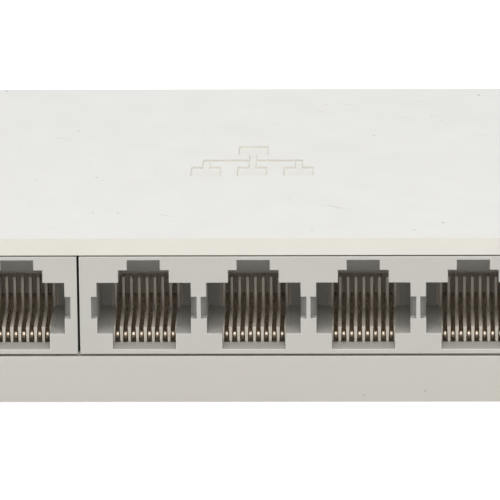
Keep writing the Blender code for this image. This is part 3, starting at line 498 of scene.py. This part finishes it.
def strip(path, thickness, near, far, edge=SMALL_EDGE):
    """A flat strip along a path of (y, z) points, from x = near to x = far, with softened edges."""
    bm = bmesh.new()
    rows = []
    for index, here in enumerate(path):
        before, after = path[max(index - 1, 0)], path[min(index + 1, len(path) - 1)]
        along = Vector((after[0] - before[0], after[1] - before[1])).normalized()
        across = Vector((-along.y, along.x)) * thickness / 2
        row = []
        for x, side in ((near, 1), (far, 1), (far, -1), (near, -1)):
            row.append(bm.verts.new((x, here[0] + side * across.x, here[1] + side * across.y)))
        rows.append(row)
    for first, second in zip(rows, rows[1:]):
        for corner in range(4):
            after = (corner + 1) % 4
            bm.faces.new((first[corner], first[after], second[after], second[corner]))
    bm.faces.new(rows[0])
    bm.faces.new(rows[-1][::-1])
    bmesh.ops.recalc_face_normals(bm, faces=bm.faces)
    round_edges(bm, sharp_edges(bm, CORNER_ANGLE), edge, 2)
    return bm


def finished(name, bm, look, node_name=None, body=CHASSIS, place=None):
    """Makes a piece, sets it on its body and, where it stands for a CAD node, hides that node."""
    if place is not None:
        moved(bm, place)
    mesh = as_mesh(bm, name)
    mesh.shade_smooth()
    mesh.set_sharp_from_angle(angle=SMOOTH_ANGLE)
    piece = add_object(name, mesh, look)
    weighted = piece.modifiers.new("flat faces shade flat", "WEIGHTED_NORMAL")
    weighted.keep_sharp = True
    weighted.weight = 100
    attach(piece, body)
    if node_name:
        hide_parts(node_name)
    return piece


def cad_copy(name):
    """A CAD node's surface as clean flat faces, ready for its edges to be rounded."""
    bm = bmesh.new()
    bm.from_mesh(NODES[name].data)
    bmesh.ops.remove_doubles(bm, verts=bm.verts, dist=WELD)
    bmesh.ops.dissolve_limit(bm, angle_limit=FLAT_ANGLE, verts=bm.verts, edges=bm.edges)
    return bm


# ---- housing ------------------------------------------------------------------------------------


def on_plane(edge, axis, level):
    """Whether both ends of an edge lie at a level along an axis."""
    return all(abs(vert.co[axis] - level) < PLANE_SLACK for vert in edge.verts)


def on_skin(edge):
    """Whether an edge lies in one of the housing's outer faces."""
    planes = ((0, -SIDE), (0, SIDE), (1, FRONT), (1, BACK), (2, TOP))
    return any(on_plane(edge, axis, level) for axis, level in planes)


def shift_level(bm, level, rise):
    """Moves the points at one height up or down, to narrow a seam to its neighbour."""
    for vert in bm.verts:
        if abs(vert.co.z - level) < PLANE_SLACK / 2:
            vert.co.z += rise


def make_housing():
    """The cover, with its chamfer band in painted shade, its mark tinted and its upright sides
    painted in the base's warmer tone by facing, and the base with the ledge of its seam.
    """
    cover = cad_copy("top_cover")
    shift_level(cover, OPENING_TOP, -COVER_DROP)
    round_edges(cover, sharp_edges(cover, wanted=on_skin), COVER_EDGE, 3)
    piece = finished("top_cover_shell", cover, LOOKS["white_plastic"], "top_cover")
    band, mark, side = 1, 2, 3
    for look in (BAND_PAINTED_SHADE, MARK_TINT, BASE_WHITE):
        piece.data.materials.append(look)
    for face in piece.data.polygons:
        depth, slope = TOP - face.center.z, face.normal.z
        # the chamfer band takes the painted shade
        if UPRIGHT_SLOPE < slope < BEVEL_SLOPE and depth < BEVEL_DEPTH:
            face.material_index = band
        elif slope > FLAT_SLOPE and MARK_DEPTHS[0] < depth < MARK_DEPTHS[1]:
            face.material_index = mark
        # upright faces of the cover take the base's warmer colour: a painted difference by facing
        # that stands in for how the light falls
        elif slope < UPRIGHT_SLOPE:
            face.material_index = side
    base = cad_copy("base_cover")
    shift_level(base, BASE_RIM, BASE_RISE)
    rims = sharp_edges(base, wanted=lambda edge: on_skin(edge) or on_plane(edge, 2, BASE_BOTTOM))
    round_edges(base, rims, COVER_EDGE, 3)
    left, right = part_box("port_block_single")[0].x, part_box("port_block_quad")[1].x
    near = FRONT + SILL_SET_BACK
    sill_low = (left, near, BASE_RIM - SILL_LAP)
    sill_high = (right, near + SILL_THICKNESS, SEAT - SILL_DROP)
    finished("base_tub", gathered(base, boxes((sill_low, sill_high))), BASE_WHITE, "base_cover")


def make_blocks():
    """The jacks' mouldings, with painted shade on every face behind their front skin."""
    for name in ("port_block_single", "port_block_quad"):
        block = cad_copy(name)
        rims = sharp_edges(block, wanted=lambda edge: on_plane(edge, 1, FRONT))
        round_edges(block, rims, BLOCK_EDGE, 2)
        piece = finished(f"{name}_moulding", block, LOOKS["white_nylon"], name)
        piece.data.materials.append(JACK_PAINTED_SHADE)
        inside = 1
        for face in piece.data.polygons:
            # Faces behind the front skin get the painted shade
            if face.center.y > FRONT + BLOCK_SKIN:
                face.material_index = inside


# ---- contact wires and their carriers -----------------------------------------------------------


def centred(middle, count, pitch):
    """A row of places about a middle."""
    return [middle + (place - (count - 1) / 2) * pitch for place in range(count)]


def wire_path():
    """Foot, round hairpin at the front, and the arm that leans back, as (y, z) points."""
    y, z = WIRE_BEND
    path = [(y + FOOT_BACK, z - FOOT_DROP)]
    centre = (y + HAIRPIN_BACK, z + HAIRPIN_RADIUS - FOOT_DROP)
    path += arc(centre, HAIRPIN_RADIUS, 270, 90 + ARM_DEGREES, 14)
    y, z = path[-1]
    rise = ARM_REACH * math.tan(math.radians(ARM_DEGREES))
    return path + [(y + ARM_REACH, z + rise)]


def make_contacts():
    """Eight wires a port, on the port's own moving body."""
    for number, port in enumerate(PORT_X, start=1):
        wires = []
        for x in centred(port, WIRE_COUNT, WIRE_PITCH):
            wires.append(strip(wire_path(), WIRE_THICKNESS, x - WIRE_WIDTH / 2, x + WIRE_WIDTH / 2))
        finished(
            f"contact_wires_{number}", gathered(*wires), LOOKS["contact_metal"],
            f"contact_set_{number}", f"contacts_{number}",
        )


def tapered_rib(x, low, high, near, far, low_width, high_width):
    """An upright rib of changing thickness, with its front and top edges softened."""
    rib = boxes(((x - high_width / 2, near, low), (x + high_width / 2, far, high)))
    for vert in rib.verts:
        if vert.co.z < (low + high) / 2:
            vert.co.x = x + (vert.co.x - x) * low_width / high_width
    edges = [e for e in rib.edges if not all(v.co.z < (low + high) / 2 for v in e.verts)]
    round_edges(rib, [e for e in edges if not on_plane(e, 1, far)], RIB_EDGE, 2)
    return rib


def make_carriers():
    """The nylon carrier in each port's floor, with its side cheeks and its soldered tails.

    The carrier has a plate under nine ribs, a thin floor in front of the plate, side posts, and
    a rear wall whose lintel reaches over the comb.
    """
    for number, port in enumerate(PORT_X, start=1):
        left, right = port - SLOT_HALF, port + SLOT_HALF
        parts = [
            boxes(((left, PLATE_NEAR, SEAT), (right, TRAY_BACK, GROOVE_FLOOR))),
            boxes(((left, COMB_FAR, SEAT), (right, TRAY_BACK, TRAY_TOP))),
            boxes(((left, LINTEL_NEAR, COMB_TOP), (right, TRAY_BACK, TRAY_TOP))),
            boxes(((left, CAVITY_NEAR, SEAT - FLOOR_DOWN), (right, PLATE_NEAR, SEAT + FLOOR_UP))),
        ]
        cheeks = []
        for side in (-1, 1):
            near, far = sorted((port + side * NOTCH_HALF, port + side * SLOT_HALF))
            cheeks.append(boxes(((near, CAVITY_NEAR, SEAT), (far, CAVITY_FAR, PLUG_FLOOR))))
            near, far = sorted((port + side * POST_HALF, port + side * SLOT_HALF))
            parts.append(boxes(((near, CAVITY_FAR, SEAT), (far, TRAY_BACK, TRAY_TOP))))
        for x in centred(port, WIRE_COUNT + 1, WIRE_PITCH):
            rib = (x, SEAT, RIB_TOP, RIB_NEAR, COMB_NEAR + RIB_LAP)
            parts.append(tapered_rib(*rib, RIB_LOW_WIDTH, RIB_TOP_WIDTH))
            tooth = (x, SEAT, COMB_TOP, COMB_NEAR, COMB_FAR)
            parts.append(tapered_rib(*tooth, COMB_WIDTH, COMB_WIDTH))
        nylon = LOOKS["carrier_plastic"]
        finished(f"carrier_{number}", gathered(*parts), nylon, f"contact_tray_{number}")
        # The cheeks inside the cavity get the jack grey with painted shade
        finished(f"carrier_cheeks_{number}", gathered(*cheeks), JACK_PAINTED_SHADE)
        tails = []
        for place, x in enumerate(centred(port, WIRE_COUNT, WIRE_PITCH)):
            y = TAIL_ROWS[place % 2]
            low = (x - TAIL_HALF, y - TAIL_HALF, TAIL_BOTTOM)
            high = (x + TAIL_HALF, y + TAIL_HALF, SEAT)
            tails.append(rounded_box(low, high, TAIL_EDGE, TAIL_RIM, 2))
        finished(f"contact_tails_{number}", gathered(*tails), LEAD_TIN)


# ---- fixings, feet and label --------------------------------------------------------------------


def on_axis(low, high, level):
    """A move from the origin to the middle of a box in plan, at a level."""
    return Matrix.Translation(((low.x + high.x) / 2, (low.y + high.y) / 2, level))


def cut(bm, *cutters):
    """A mesh with others cut from it; all are used up."""
    body = add_object("body", as_mesh(bm), LOOKS["steel"])
    tools = [add_object("tool", as_mesh(cutter), LOOKS["steel"]) for cutter in cutters]
    for tool in tools:
        boolean = body.modifiers.new("cut", "BOOLEAN")
        boolean.operation = "DIFFERENCE"
        boolean.solver = "EXACT"
        boolean.object = tool
    view = bpy.context.evaluated_depsgraph_get()
    result = bmesh.new()
    result.from_mesh(body.evaluated_get(view).to_mesh())
    for item in [body] + tools:
        bpy.data.objects.remove(item, do_unlink=True)
    return result


def thread(length):
    """A ripple that makes a shank's points follow a coarse screw thread."""
    def ripple(angle, z):
        if not THREAD_START < z < length - THREAD_PITCH:
            return 0.0
        turn = (z / THREAD_PITCH - angle / (2 * math.pi)) % 1.0
        return -THREAD_DEPTH * abs(2 * turn - 1)
    return ripple


def screw(length):
    """A pan-head screw along +Z with its head's underside at z = 0, a cross recess and a thread."""
    radius, head, height = SCREW_RADIUS, SCREW_HEAD_RADIUS, SCREW_HEAD_HEIGHT
    crown, shoulder, tip = 0.55 * head, 0.75 * radius, 0.3 * radius
    turn, chamfer = SCREW_HEAD_ROUND, 0.1 * MM
    profile = [(0.0, -height), (crown, -height)]
    profile += arc((head - turn, turn - height), turn, -90, 0, 5)
    profile += [(head, -chamfer), (head - chamfer, 0.0), (radius, 0.0)]
    plain_end, step_up = 0.3 * MM, THREAD_PITCH / 6
    steps = int((length - 2 * plain_end) / step_up)
    profile += [(radius, plain_end + step * step_up) for step in range(steps)]
    profile += [(shoulder, length - plain_end), (tip, length), (0.0, length)]
    depth = CROSS_DEPTH - height
    slots = [
        boxes(((-CROSS_REACH, -CROSS_HALF, -height - MM), (CROSS_REACH, CROSS_HALF, depth))),
        boxes(((-CROSS_HALF, -CROSS_REACH, -height - MM), (CROSS_HALF, CROSS_REACH, depth))),
    ]
    return cut(turned(profile, 28, thread(length)), *slots)


def make_screws():
    """The case screws point up and the board screws point down."""
    over = Matrix.Rotation(math.pi, 4, "X")
    for side in ("left", "right"):
        name = f"case_screw_{side}"
        low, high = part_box(name)
        level = low.z + SCREW_HEAD_HEIGHT
        place = on_axis(low, high, level)
        finished(f"{name}_fine", screw(high.z - level), LOOKS["steel"], name, place=place)
        name = f"board_screw_{side}"
        low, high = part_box(name)
        level = high.z - SCREW_HEAD_HEIGHT
        place = on_axis(low, high, level) @ over
        finished(f"{name}_fine", screw(level - low.z), LOOKS["steel"], name, place=place)


def make_feet():
    """Rubber discs with a round rim and a shallow hollow in the middle."""
    hollow, rim, chamfer = 0.15 * MM, 0.35 * MM, 0.05 * MM
    slope_start, slope_end = 1.6 * MM, 1.3 * MM
    for end in ("front", "rear"):
        for side in ("left", "right"):
            name = f"foot_{end}_{side}"
            low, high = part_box(name)
            radius, height = (high.x - low.x) / 2, high.z - low.z
            profile = [(0.0, hollow), (radius - slope_start, hollow), (radius - slope_end, 0.0)]
            profile += arc((radius - rim, rim), rim, -90, 0, 5)
            profile += [(radius, height - chamfer), (radius - chamfer, height), (0.0, height)]
            place = on_axis(low, high, low.z)
            finished(f"{name}_disc", turned(profile, 48), LOOKS["rubber_foot"], name, place=place)


def make_label():
    """A thin film with round corners."""
    low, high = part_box("rating_label")
    corner, rim = 1.2 * MM, 0.05 * MM
    finished("rating_film", rounded_box(low, high, corner, rim, 6), LOOKS["label"], "rating_label")


# ---- power inlet --------------------------------------------------------------------------------


def make_inlet():
    """The inlet's moulding, its centre pin and tab, its terminal, and its moving spring leaf."""
    body = cad_copy("dc_jack_body")
    rims = sharp_edges(body, wanted=lambda edge: on_plane(edge, 1, FRONT))
    round_edges(body, rims, INLET_EDGE, 3)
    finished("inlet_moulding", body, LOOKS["black_plastic"], "dc_jack_body")
    low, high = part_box("dc_jack_pin")
    tab_near, axis_z = high.y - TAB_THICKNESS, high.z - TAB_RISE
    profile = [(0.0, 0.0)] + arc((PIN_RADIUS - PIN_ROUND, PIN_ROUND), PIN_ROUND, -90, 0, 5)
    profile += [(PIN_RADIUS, tab_near - low.y), (0.0, tab_near - low.y)]
    pin = moved(turned(profile, 32), Matrix.Rotation(-math.pi / 2, 4, "X"))
    moved(pin, Matrix.Translation(((low.x + high.x) / 2, low.y, axis_z)))
    tab = rounded_box((low.x, tab_near, low.z), high, TAB_EDGE, TAB_EDGE, 2)
    finished("inlet_pin", gathered(pin, tab), LOOKS["steel"], "dc_jack_pin")
    low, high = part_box("dc_jack_terminal")
    terminal = rounded_box(low, high, TAB_EDGE, TAB_EDGE, 2)
    finished("inlet_terminal", terminal, LEAD_TIN, "dc_jack_terminal")
    low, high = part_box("dc_jack_spring")
    y, z = SPRING_PIVOT
    path = [(y + dy, z + dz) for dy, dz in leaf_curve()]
    leaf = strip(path, SPRING_THICKNESS, low.x, high.x)
    finished(
        "inlet_spring_leaf", leaf, LOOKS["contact_metal"], "dc_jack_spring", "inlet_spring"
    )


def leaf_curve():
    """The spring leaf's line from its pivot: a smooth curve along the model's five bends."""
    points = [Vector(bend) for bend in SPRING_BENDS]
    for _ in range(2):
        smoother = [points[0]]
        for first, second in zip(points, points[1:]):
            smoother += [first.lerp(second, 0.25), first.lerp(second, 0.75)]
        points = smoother + [points[-1]]
    return [tuple(point) for point in points]


# ---- parts on the board -------------------------------------------------------------------------


def gull_lead(across, outer, inner, height, along_y=True):
    """A bent lead: out of the body's side, down, and flat on its land."""
    out, flat = outer - inner, LEAD_THICKNESS / 2
    path = [
        (inner, height), (inner + 0.3 * out, height), (inner + 0.48 * out, 0.75 * height),
        (inner + 0.56 * out, 0.3 * height), (inner + 0.68 * out, flat), (outer, flat),
    ]
    bm = strip(path, LEAD_THICKNESS, across - LEAD_HALF, across + LEAD_HALF, LEAD_EDGE)
    if not along_y:
        moved(bm, Matrix.Rotation(-math.pi / 2, 4, "Z"))
    return bm


def make_package(name, leads_x, leads_y, pitch):
    """A moulded package with bent leads, a softened rim and a dimple at its first corner."""
    low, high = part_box(name)
    half_x = (high.x - low.x) / 2 - (LEAD_REACH if leads_y else 0.0)
    half_y = (high.y - low.y) / 2 - LEAD_REACH
    height = high.z - low.z
    lift, corner, rim = 0.1 * MM, 0.25 * MM, 0.12 * MM
    body = rounded_box((-half_x, -half_y, lift), (half_x, half_y, height), corner, rim, 2)
    dot, floor = min(0.5 * MM, half_y / 4), height - 0.1 * MM
    dimple = turned([(0.0, floor), (dot, floor), (dot, height + MM), (0.0, height + MM)])
    moved(dimple, Matrix.Translation((2.2 * dot - half_x, 2.2 * dot - half_y, 0.0)))
    base = on_axis(low, high, low.z)
    finished(f"{name}_body", cut(body, dimple), LOOKS["chip_black"], name, place=base)
    leads = []
    for side in (-1, 1):
        for x in centred(0.0, leads_x, pitch):
            ends = side * (half_y + LEAD_REACH), side * (half_y - LEAD_LAP)
            leads.append(gull_lead(x, *ends, height * LEAD_LEVEL))
        for y in centred(0.0, leads_y, pitch):
            ends = side * (half_x + LEAD_REACH), side * (half_x - LEAD_LAP)
            leads.append(gull_lead(y, *ends, height * LEAD_LEVEL, along_y=False))
    finished(f"{name}_leads", gathered(*leads), LEAD_TIN, place=base)


def make_can_capacitor(name):
    """An electrolytic capacitor: a sleeve with a crimped foot, and a scored can top."""
    low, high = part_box(name)
    radius, height = (high.x - low.x) / 2, high.z - low.z
    base = on_axis(low, high, low.z)
    foot, crimp, rim = 0.25 * MM, 0.3 * MM, 0.5 * MM
    profile = [(0.0, 0.0), (radius - foot, 0.0), (radius, foot), (radius, 0.9 * MM)]
    profile += [(radius - crimp, 1.25 * MM), (radius, 1.6 * MM), (radius, height - rim)]
    profile += arc((radius - rim, height - rim), rim, 0, 90, 5)[1:]
    lip, well = radius - 0.8 * MM, height - 0.15 * MM
    profile += [(lip, height), (lip, well), (0.0, well)]
    finished(f"{name}_sleeve", turned(profile, 48), LOOKS["capacitor_sleeve"], name, place=base)
    disc, under, over = radius - 0.85 * MM, height - 0.14 * MM, height - 0.02 * MM
    chamfer = [(disc, height - 0.05 * MM), (disc - 0.05 * MM, over)]
    top = turned([(0.0, under), (disc, under), *chamfer, (0.0, over)], 40)
    half, reach, floor = 0.12 * MM, 0.75 * disc, height - 0.08 * MM
    scores = [
        boxes(((-reach, -half, floor), (reach, half, height + MM))),
        boxes(((-half, -reach, floor), (half, reach, height + MM))),
    ]
    finished(f"{name}_top", cut(top, *scores), ALUMINIUM, place=base)


def make_crystal():
    """A metal can with round ends on a wider flange."""
    low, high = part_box("crystal")
    flange_top, flange_corner, flange_rim = low.z + 0.5 * MM, 2.25 * MM, 0.1 * MM
    flange = rounded_box(low, (high.x, high.y, flange_top), flange_corner, flange_rim, 8)
    inset, can_bottom, can_corner, can_rim = 0.45 * MM, low.z + 0.4 * MM, 1.83 * MM, 0.35 * MM
    can_low = (low.x + inset, low.y + inset, can_bottom)
    can_high = (high.x - inset, high.y - inset, high.z)
    can = rounded_box(can_low, can_high, can_corner, can_rim, 8)
    finished("crystal_can", gathered(flange, can), LOOKS["steel"], "crystal")


def make_inductor():
    """Two square ferrite flanges with copper turns between them."""
    low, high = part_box("power_inductor")
    thickness, corner, rim = 0.7 * MM, 0.9 * MM, 0.12 * MM
    flanges = []
    for bottom, top in ((low.z, low.z + thickness), (high.z - thickness, high.z)):
        ends = (low.x, low.y, bottom), (high.x, high.y, top)
        flanges.append(rounded_box(*ends, corner, rim, 5))
    finished("inductor_core", gathered(*flanges), LOOKS["ferrite"], "power_inductor")
    wire, turns = 0.16 * MM, 5
    radius = (high.x - low.x) / 2 - 0.75 * MM - wire
    bottom, top = low.z + 0.65 * MM, high.z - 0.65 * MM
    profile = [(0.0, bottom), (radius, bottom)]
    for turn in range(turns):
        profile += arc((radius, bottom + wire * (2 * turn + 1)), wire, -80, 80, 6)
    profile += [(radius, top), (0.0, top)]
    finished("inductor_winding", turned(profile, 40), COPPER, place=on_axis(low, high, 0.0))


def make_disc_capacitor():
    """A dipped disc on two round leads."""
    low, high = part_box("isolation_capacitor")
    middle = (low + high) / 2
    radius, half = (high.x - low.x) / 2, (high.y - low.y) / 2
    level = high.z - radius
    profile = [(0.0, -half)] + arc((radius - half, 0.0), half, -90, 90, 10) + [(0.0, half)]
    disc = moved(turned(profile, 40), Matrix.Rotation(math.pi / 2, 4, "X"))
    moved(disc, Matrix.Translation((middle.x, middle.y, level)))
    finished("disc_capacitor", disc, LOOKS["ceramic_blue"], "isolation_capacitor")
    lead, apart, tip = 0.22 * MM, 2.5 * MM, 0.1 * MM
    leads = []
    for side in (-1, 1):
        shape = turned([(0.0, low.z), (lead, low.z + tip), (lead, level), (0.0, level)], 12)
        leads.append(moved(shape, Matrix.Translation((middle.x + side * apart, middle.y, 0.0))))
    finished("disc_capacitor_leads", gathered(*leads), LEAD_TIN)


def make_lamps():
    """Chip lamps: a white base with tinned ends under a clear block."""
    base_share, end_width, end_edge = 0.45, 0.12 * MM, 0.02 * MM
    lens_corner, lens_rim, base_corner = 0.08 * MM, 0.06 * MM, 0.03 * MM
    for name in ["led_power"] + [f"led_port_{number}" for number in range(1, PORT_COUNT + 1)]:
        low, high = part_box(name)
        split = low.z + (high.z - low.z) * base_share
        left, right = low.x + end_width, high.x - end_width
        lens = rounded_box((left, low.y, split), (right, *high.yz), lens_corner, lens_rim, 3)
        finished(f"{name}_lens", lens, LOOKS["led_resin"], name)
        base = rounded_box((left, *low.yz), (right, high.y, split), base_corner, end_edge, 2)
        finished(f"{name}_base", base, LOOKS["carrier_plastic"])
        ends = []
        for near, far in ((low.x, left), (right, high.x)):
            ends.append(rounded_box((near, *low.yz), (far, high.y, split), end_edge, end_edge, 2))
        finished(f"{name}_ends", gathered(*ends), LEAD_TIN)


def crowds(low, high, others, room):
    """Whether a box comes nearer than some room, in plan, to any of the others."""
    return any(
        low.x - room < far.x and high.x + room > near.x
        and low.y - room < far.y and high.y + room > near.y
        for near, far in others
    )


def make_passives():
    """Small chip parts scattered over the board's free ground, on a fixed seed."""
    draws = random.Random(5)
    wanted, margin, room, ground_near = 44, 3 * MM, 0.6 * MM, FRONT + 20 * MM
    half_long, half_short, height = 0.9 * MM, 0.5 * MM, 0.5 * MM
    cap, inset, body_corner, edge = 0.3 * MM, 0.02 * MM, 0.03 * MM, 0.05 * MM
    not_in_the_way = ("white_plastic", "circuit_board")
    taken = [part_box(name) for name in NODES if SLOTS[name] not in not_in_the_way]
    board_low, board_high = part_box("main_board")
    bodies, ends = [], []
    while len(bodies) < wanted:
        x = draws.uniform(board_low.x + margin, board_high.x - margin)
        y = draws.uniform(ground_near, board_high.y - margin)
        along, across = (0, 1) if draws.random() < 0.5 else (1, 0)
        low = Vector((x - half_short, y - half_short, board_high.z))
        high = Vector((x + half_short, y + half_short, SEAT + height))
        low[along] = (x, y)[along] - half_long
        high[along] = (x, y)[along] + half_long
        if crowds(low, high, taken, room):
            continue
        taken.append((low, high))
        body_low, body_high = low.copy(), high.copy()
        body_low[along] += cap
        body_high[along] -= cap
        first_high, last_low = high.copy(), low.copy()
        first_high[along], last_low[along] = body_low[along], body_high[along]
        body_low[across] += inset
        body_high[across] -= inset
        bodies.append(rounded_box(body_low, body_high, body_corner, edge, 2))
        for corners in ((low, first_high), (last_low, high)):
            ends.append(rounded_box(*corners, edge, edge, 2))
    finished("chip_parts", gathered(*bodies), LOOKS["chip_black"])
    finished("chip_part_ends", gathered(*ends), LEAD_TIN)


def make_light_guide():
    """The clear guide from the lamps to the windows at the back."""
    guide = cad_copy("light_guide")
    round_edges(guide, sharp_edges(guide), GUIDE_EDGE, 2)
    finished("light_guide_moulding", guide, LOOKS["clear_resin"], "light_guide")


def make_board_parts():
    """Everything on the board. A package's numbers are its leads along X and Y, and their pitch."""
    make_package("switch_chip", 8, 8, 1.5 * MM)
    make_package("line_transformer_quad", 12, 0, 2.0 * MM)
    make_package("line_transformer_single", 6, 0, 1.9 * MM)
    make_package("buck_converter", 4, 0, 1.27 * MM)
    make_package("core_regulator", 3, 0, 2.3 * MM)
    make_package("input_diode", 1, 0, 1.0 * MM)
    make_can_capacitor("input_capacitor")
    make_can_capacitor("output_capacitor")
    make_crystal()
    make_inductor()
    make_disc_capacitor()
    make_lamps()
    make_passives()


# ---- studio -------------------------------------------------------------------------------------


def make_floor():
    """One flat sheet on the desk plane, which isn't part of the object."""
    bm = bmesh.new()
    bmesh.ops.create_grid(bm, x_segments=1, y_segments=1, size=FLOOR_SIZE)
    floor = add_object("floor", as_mesh(bm), floor_look())


def floor_look():
    """A plain pale floor, clear from below, that lets the lamp below light the underside."""
    look, shader, _ = blank("pale_floor")
    shader.inputs["Base Color"].default_value = grey(FLOOR_BOUNCE)
    shader.inputs["Roughness"].default_value = 0.9
    shader.inputs["Emission Color"].default_value = grey(1.0)
    ray = node(look, "ShaderNodeLightPath").outputs
    glow = spread(look, ray["Is Camera Ray"], 0.0, 1.0, 0.0, FLOOR_GLOW)
    wire_up(look, glow, shader.inputs["Emission Strength"])
    behind = node(look, "ShaderNodeNewGeometry").outputs["Backfacing"]
    either = {0: behind, 1: ray["Is Shadow Ray"]}
    open_to = node(look, "ShaderNodeMath", either, operation="MAXIMUM").outputs[0]
    through = node(look, "ShaderNodeBsdfTransparent").outputs["BSDF"]
    joined = node(look, "ShaderNodeMixShader", {0: open_to, 1: shader.outputs["BSDF"], 2: through})
    output = look.node_tree.nodes["Material Output"]
    wire_up(look, joined.outputs[0], output.inputs["Surface"])
    return look


def add_light(name, place, aim, size, power):
    """A square white lamp of this size in metres and power in watts, aimed at a point."""
    lamp = bpy.data.lights.new(name, "AREA")
    lamp.size = size
    lamp.energy = power
    holder = bpy.data.objects.new(name, lamp)
    bpy.context.scene.collection.objects.link(holder)
    holder.location = place
    holder.rotation_euler = (Vector(aim) - Vector(place)).to_track_quat("-Z", "Y").to_euler()


def make_sky():
    """A soft dome of light: full overhead, and fading to nothing at the horizon."""
    world = bpy.data.worlds.new("studio")
    world.use_nodes = True
    backdrop = world.node_tree.nodes["Background"]
    place = node(world, "ShaderNodeTexCoord").outputs["Generated"]
    height = node(world, "ShaderNodeSeparateXYZ", {0: place}).outputs["Z"]
    wire_up(world, spread(world, height, 0.0, 1.0, SKY_HORIZON, 1.0), backdrop.inputs["Color"])
    backdrop.inputs["Strength"].default_value = SKY_STRENGTH
    bpy.context.scene.world = world


def make_studio():
    """Floor, dome, two lamps over the port side by their rise in degrees, and one from below."""
    make_floor()
    make_sky()
    middle = Vector((0.0, 0.0, TOP / 2))
    for name, (rise, power) in LAMPS.items():
        angle = math.radians(rise)
        away = Vector((0.0, -math.cos(angle), math.sin(angle)))
        add_light(name, middle + away * LAMP_DISTANCE, middle, LAMP_SIZE, power)
    below = middle - Vector((0.0, 0.0, LAMP_DISTANCE))
    add_light("below", below, middle, BELOW_SIZE, BELOW_POWER)
    bpy.context.scene.view_settings.view_transform = "Standard"


def make_camera():
    """A long lens on the port side, aimed by its rise, turn and roll."""
    camera = bpy.data.cameras.new("camera")
    camera.lens = CAMERA_LENS
    camera.clip_start, camera.clip_end = CAMERA_CLIP
    holder = bpy.data.objects.new("camera", camera)
    bpy.context.scene.collection.objects.link(holder)
    rise, turn = CAMERA_RISE, CAMERA_TURN
    along = math.cos(rise)
    ahead = Vector((math.sin(turn) * along, math.cos(turn) * along, -math.sin(rise)))
    level = ahead.cross(Vector((0.0, 0.0, 1.0))).normalized()
    upright = level.cross(ahead)
    right = math.cos(CAMERA_ROLL) * level + math.sin(CAMERA_ROLL) * upright
    up = math.cos(CAMERA_ROLL) * upright - math.sin(CAMERA_ROLL) * level
    facing = Matrix((right, up, -ahead)).transposed().to_4x4()
    holder.matrix_world = Matrix.Translation(CAMERA_AIM - ahead * CAMERA_DISTANCE) @ facing
    bpy.context.scene.camera = holder


def dress_cad_nodes():
    """Gives every CAD node that is still shown its finish."""
    for name, cad in NODES.items():
        if not cad.hide_render:
            cad.data.materials.clear()
            cad.data.materials.append(LOOKS[SLOTS[name]])


make_housing()
make_blocks()
make_contacts()
make_carriers()
make_screws()
make_feet()
make_label()
make_inlet()
make_board_parts()
make_light_guide()
dress_cad_nodes()
make_studio()
make_camera()
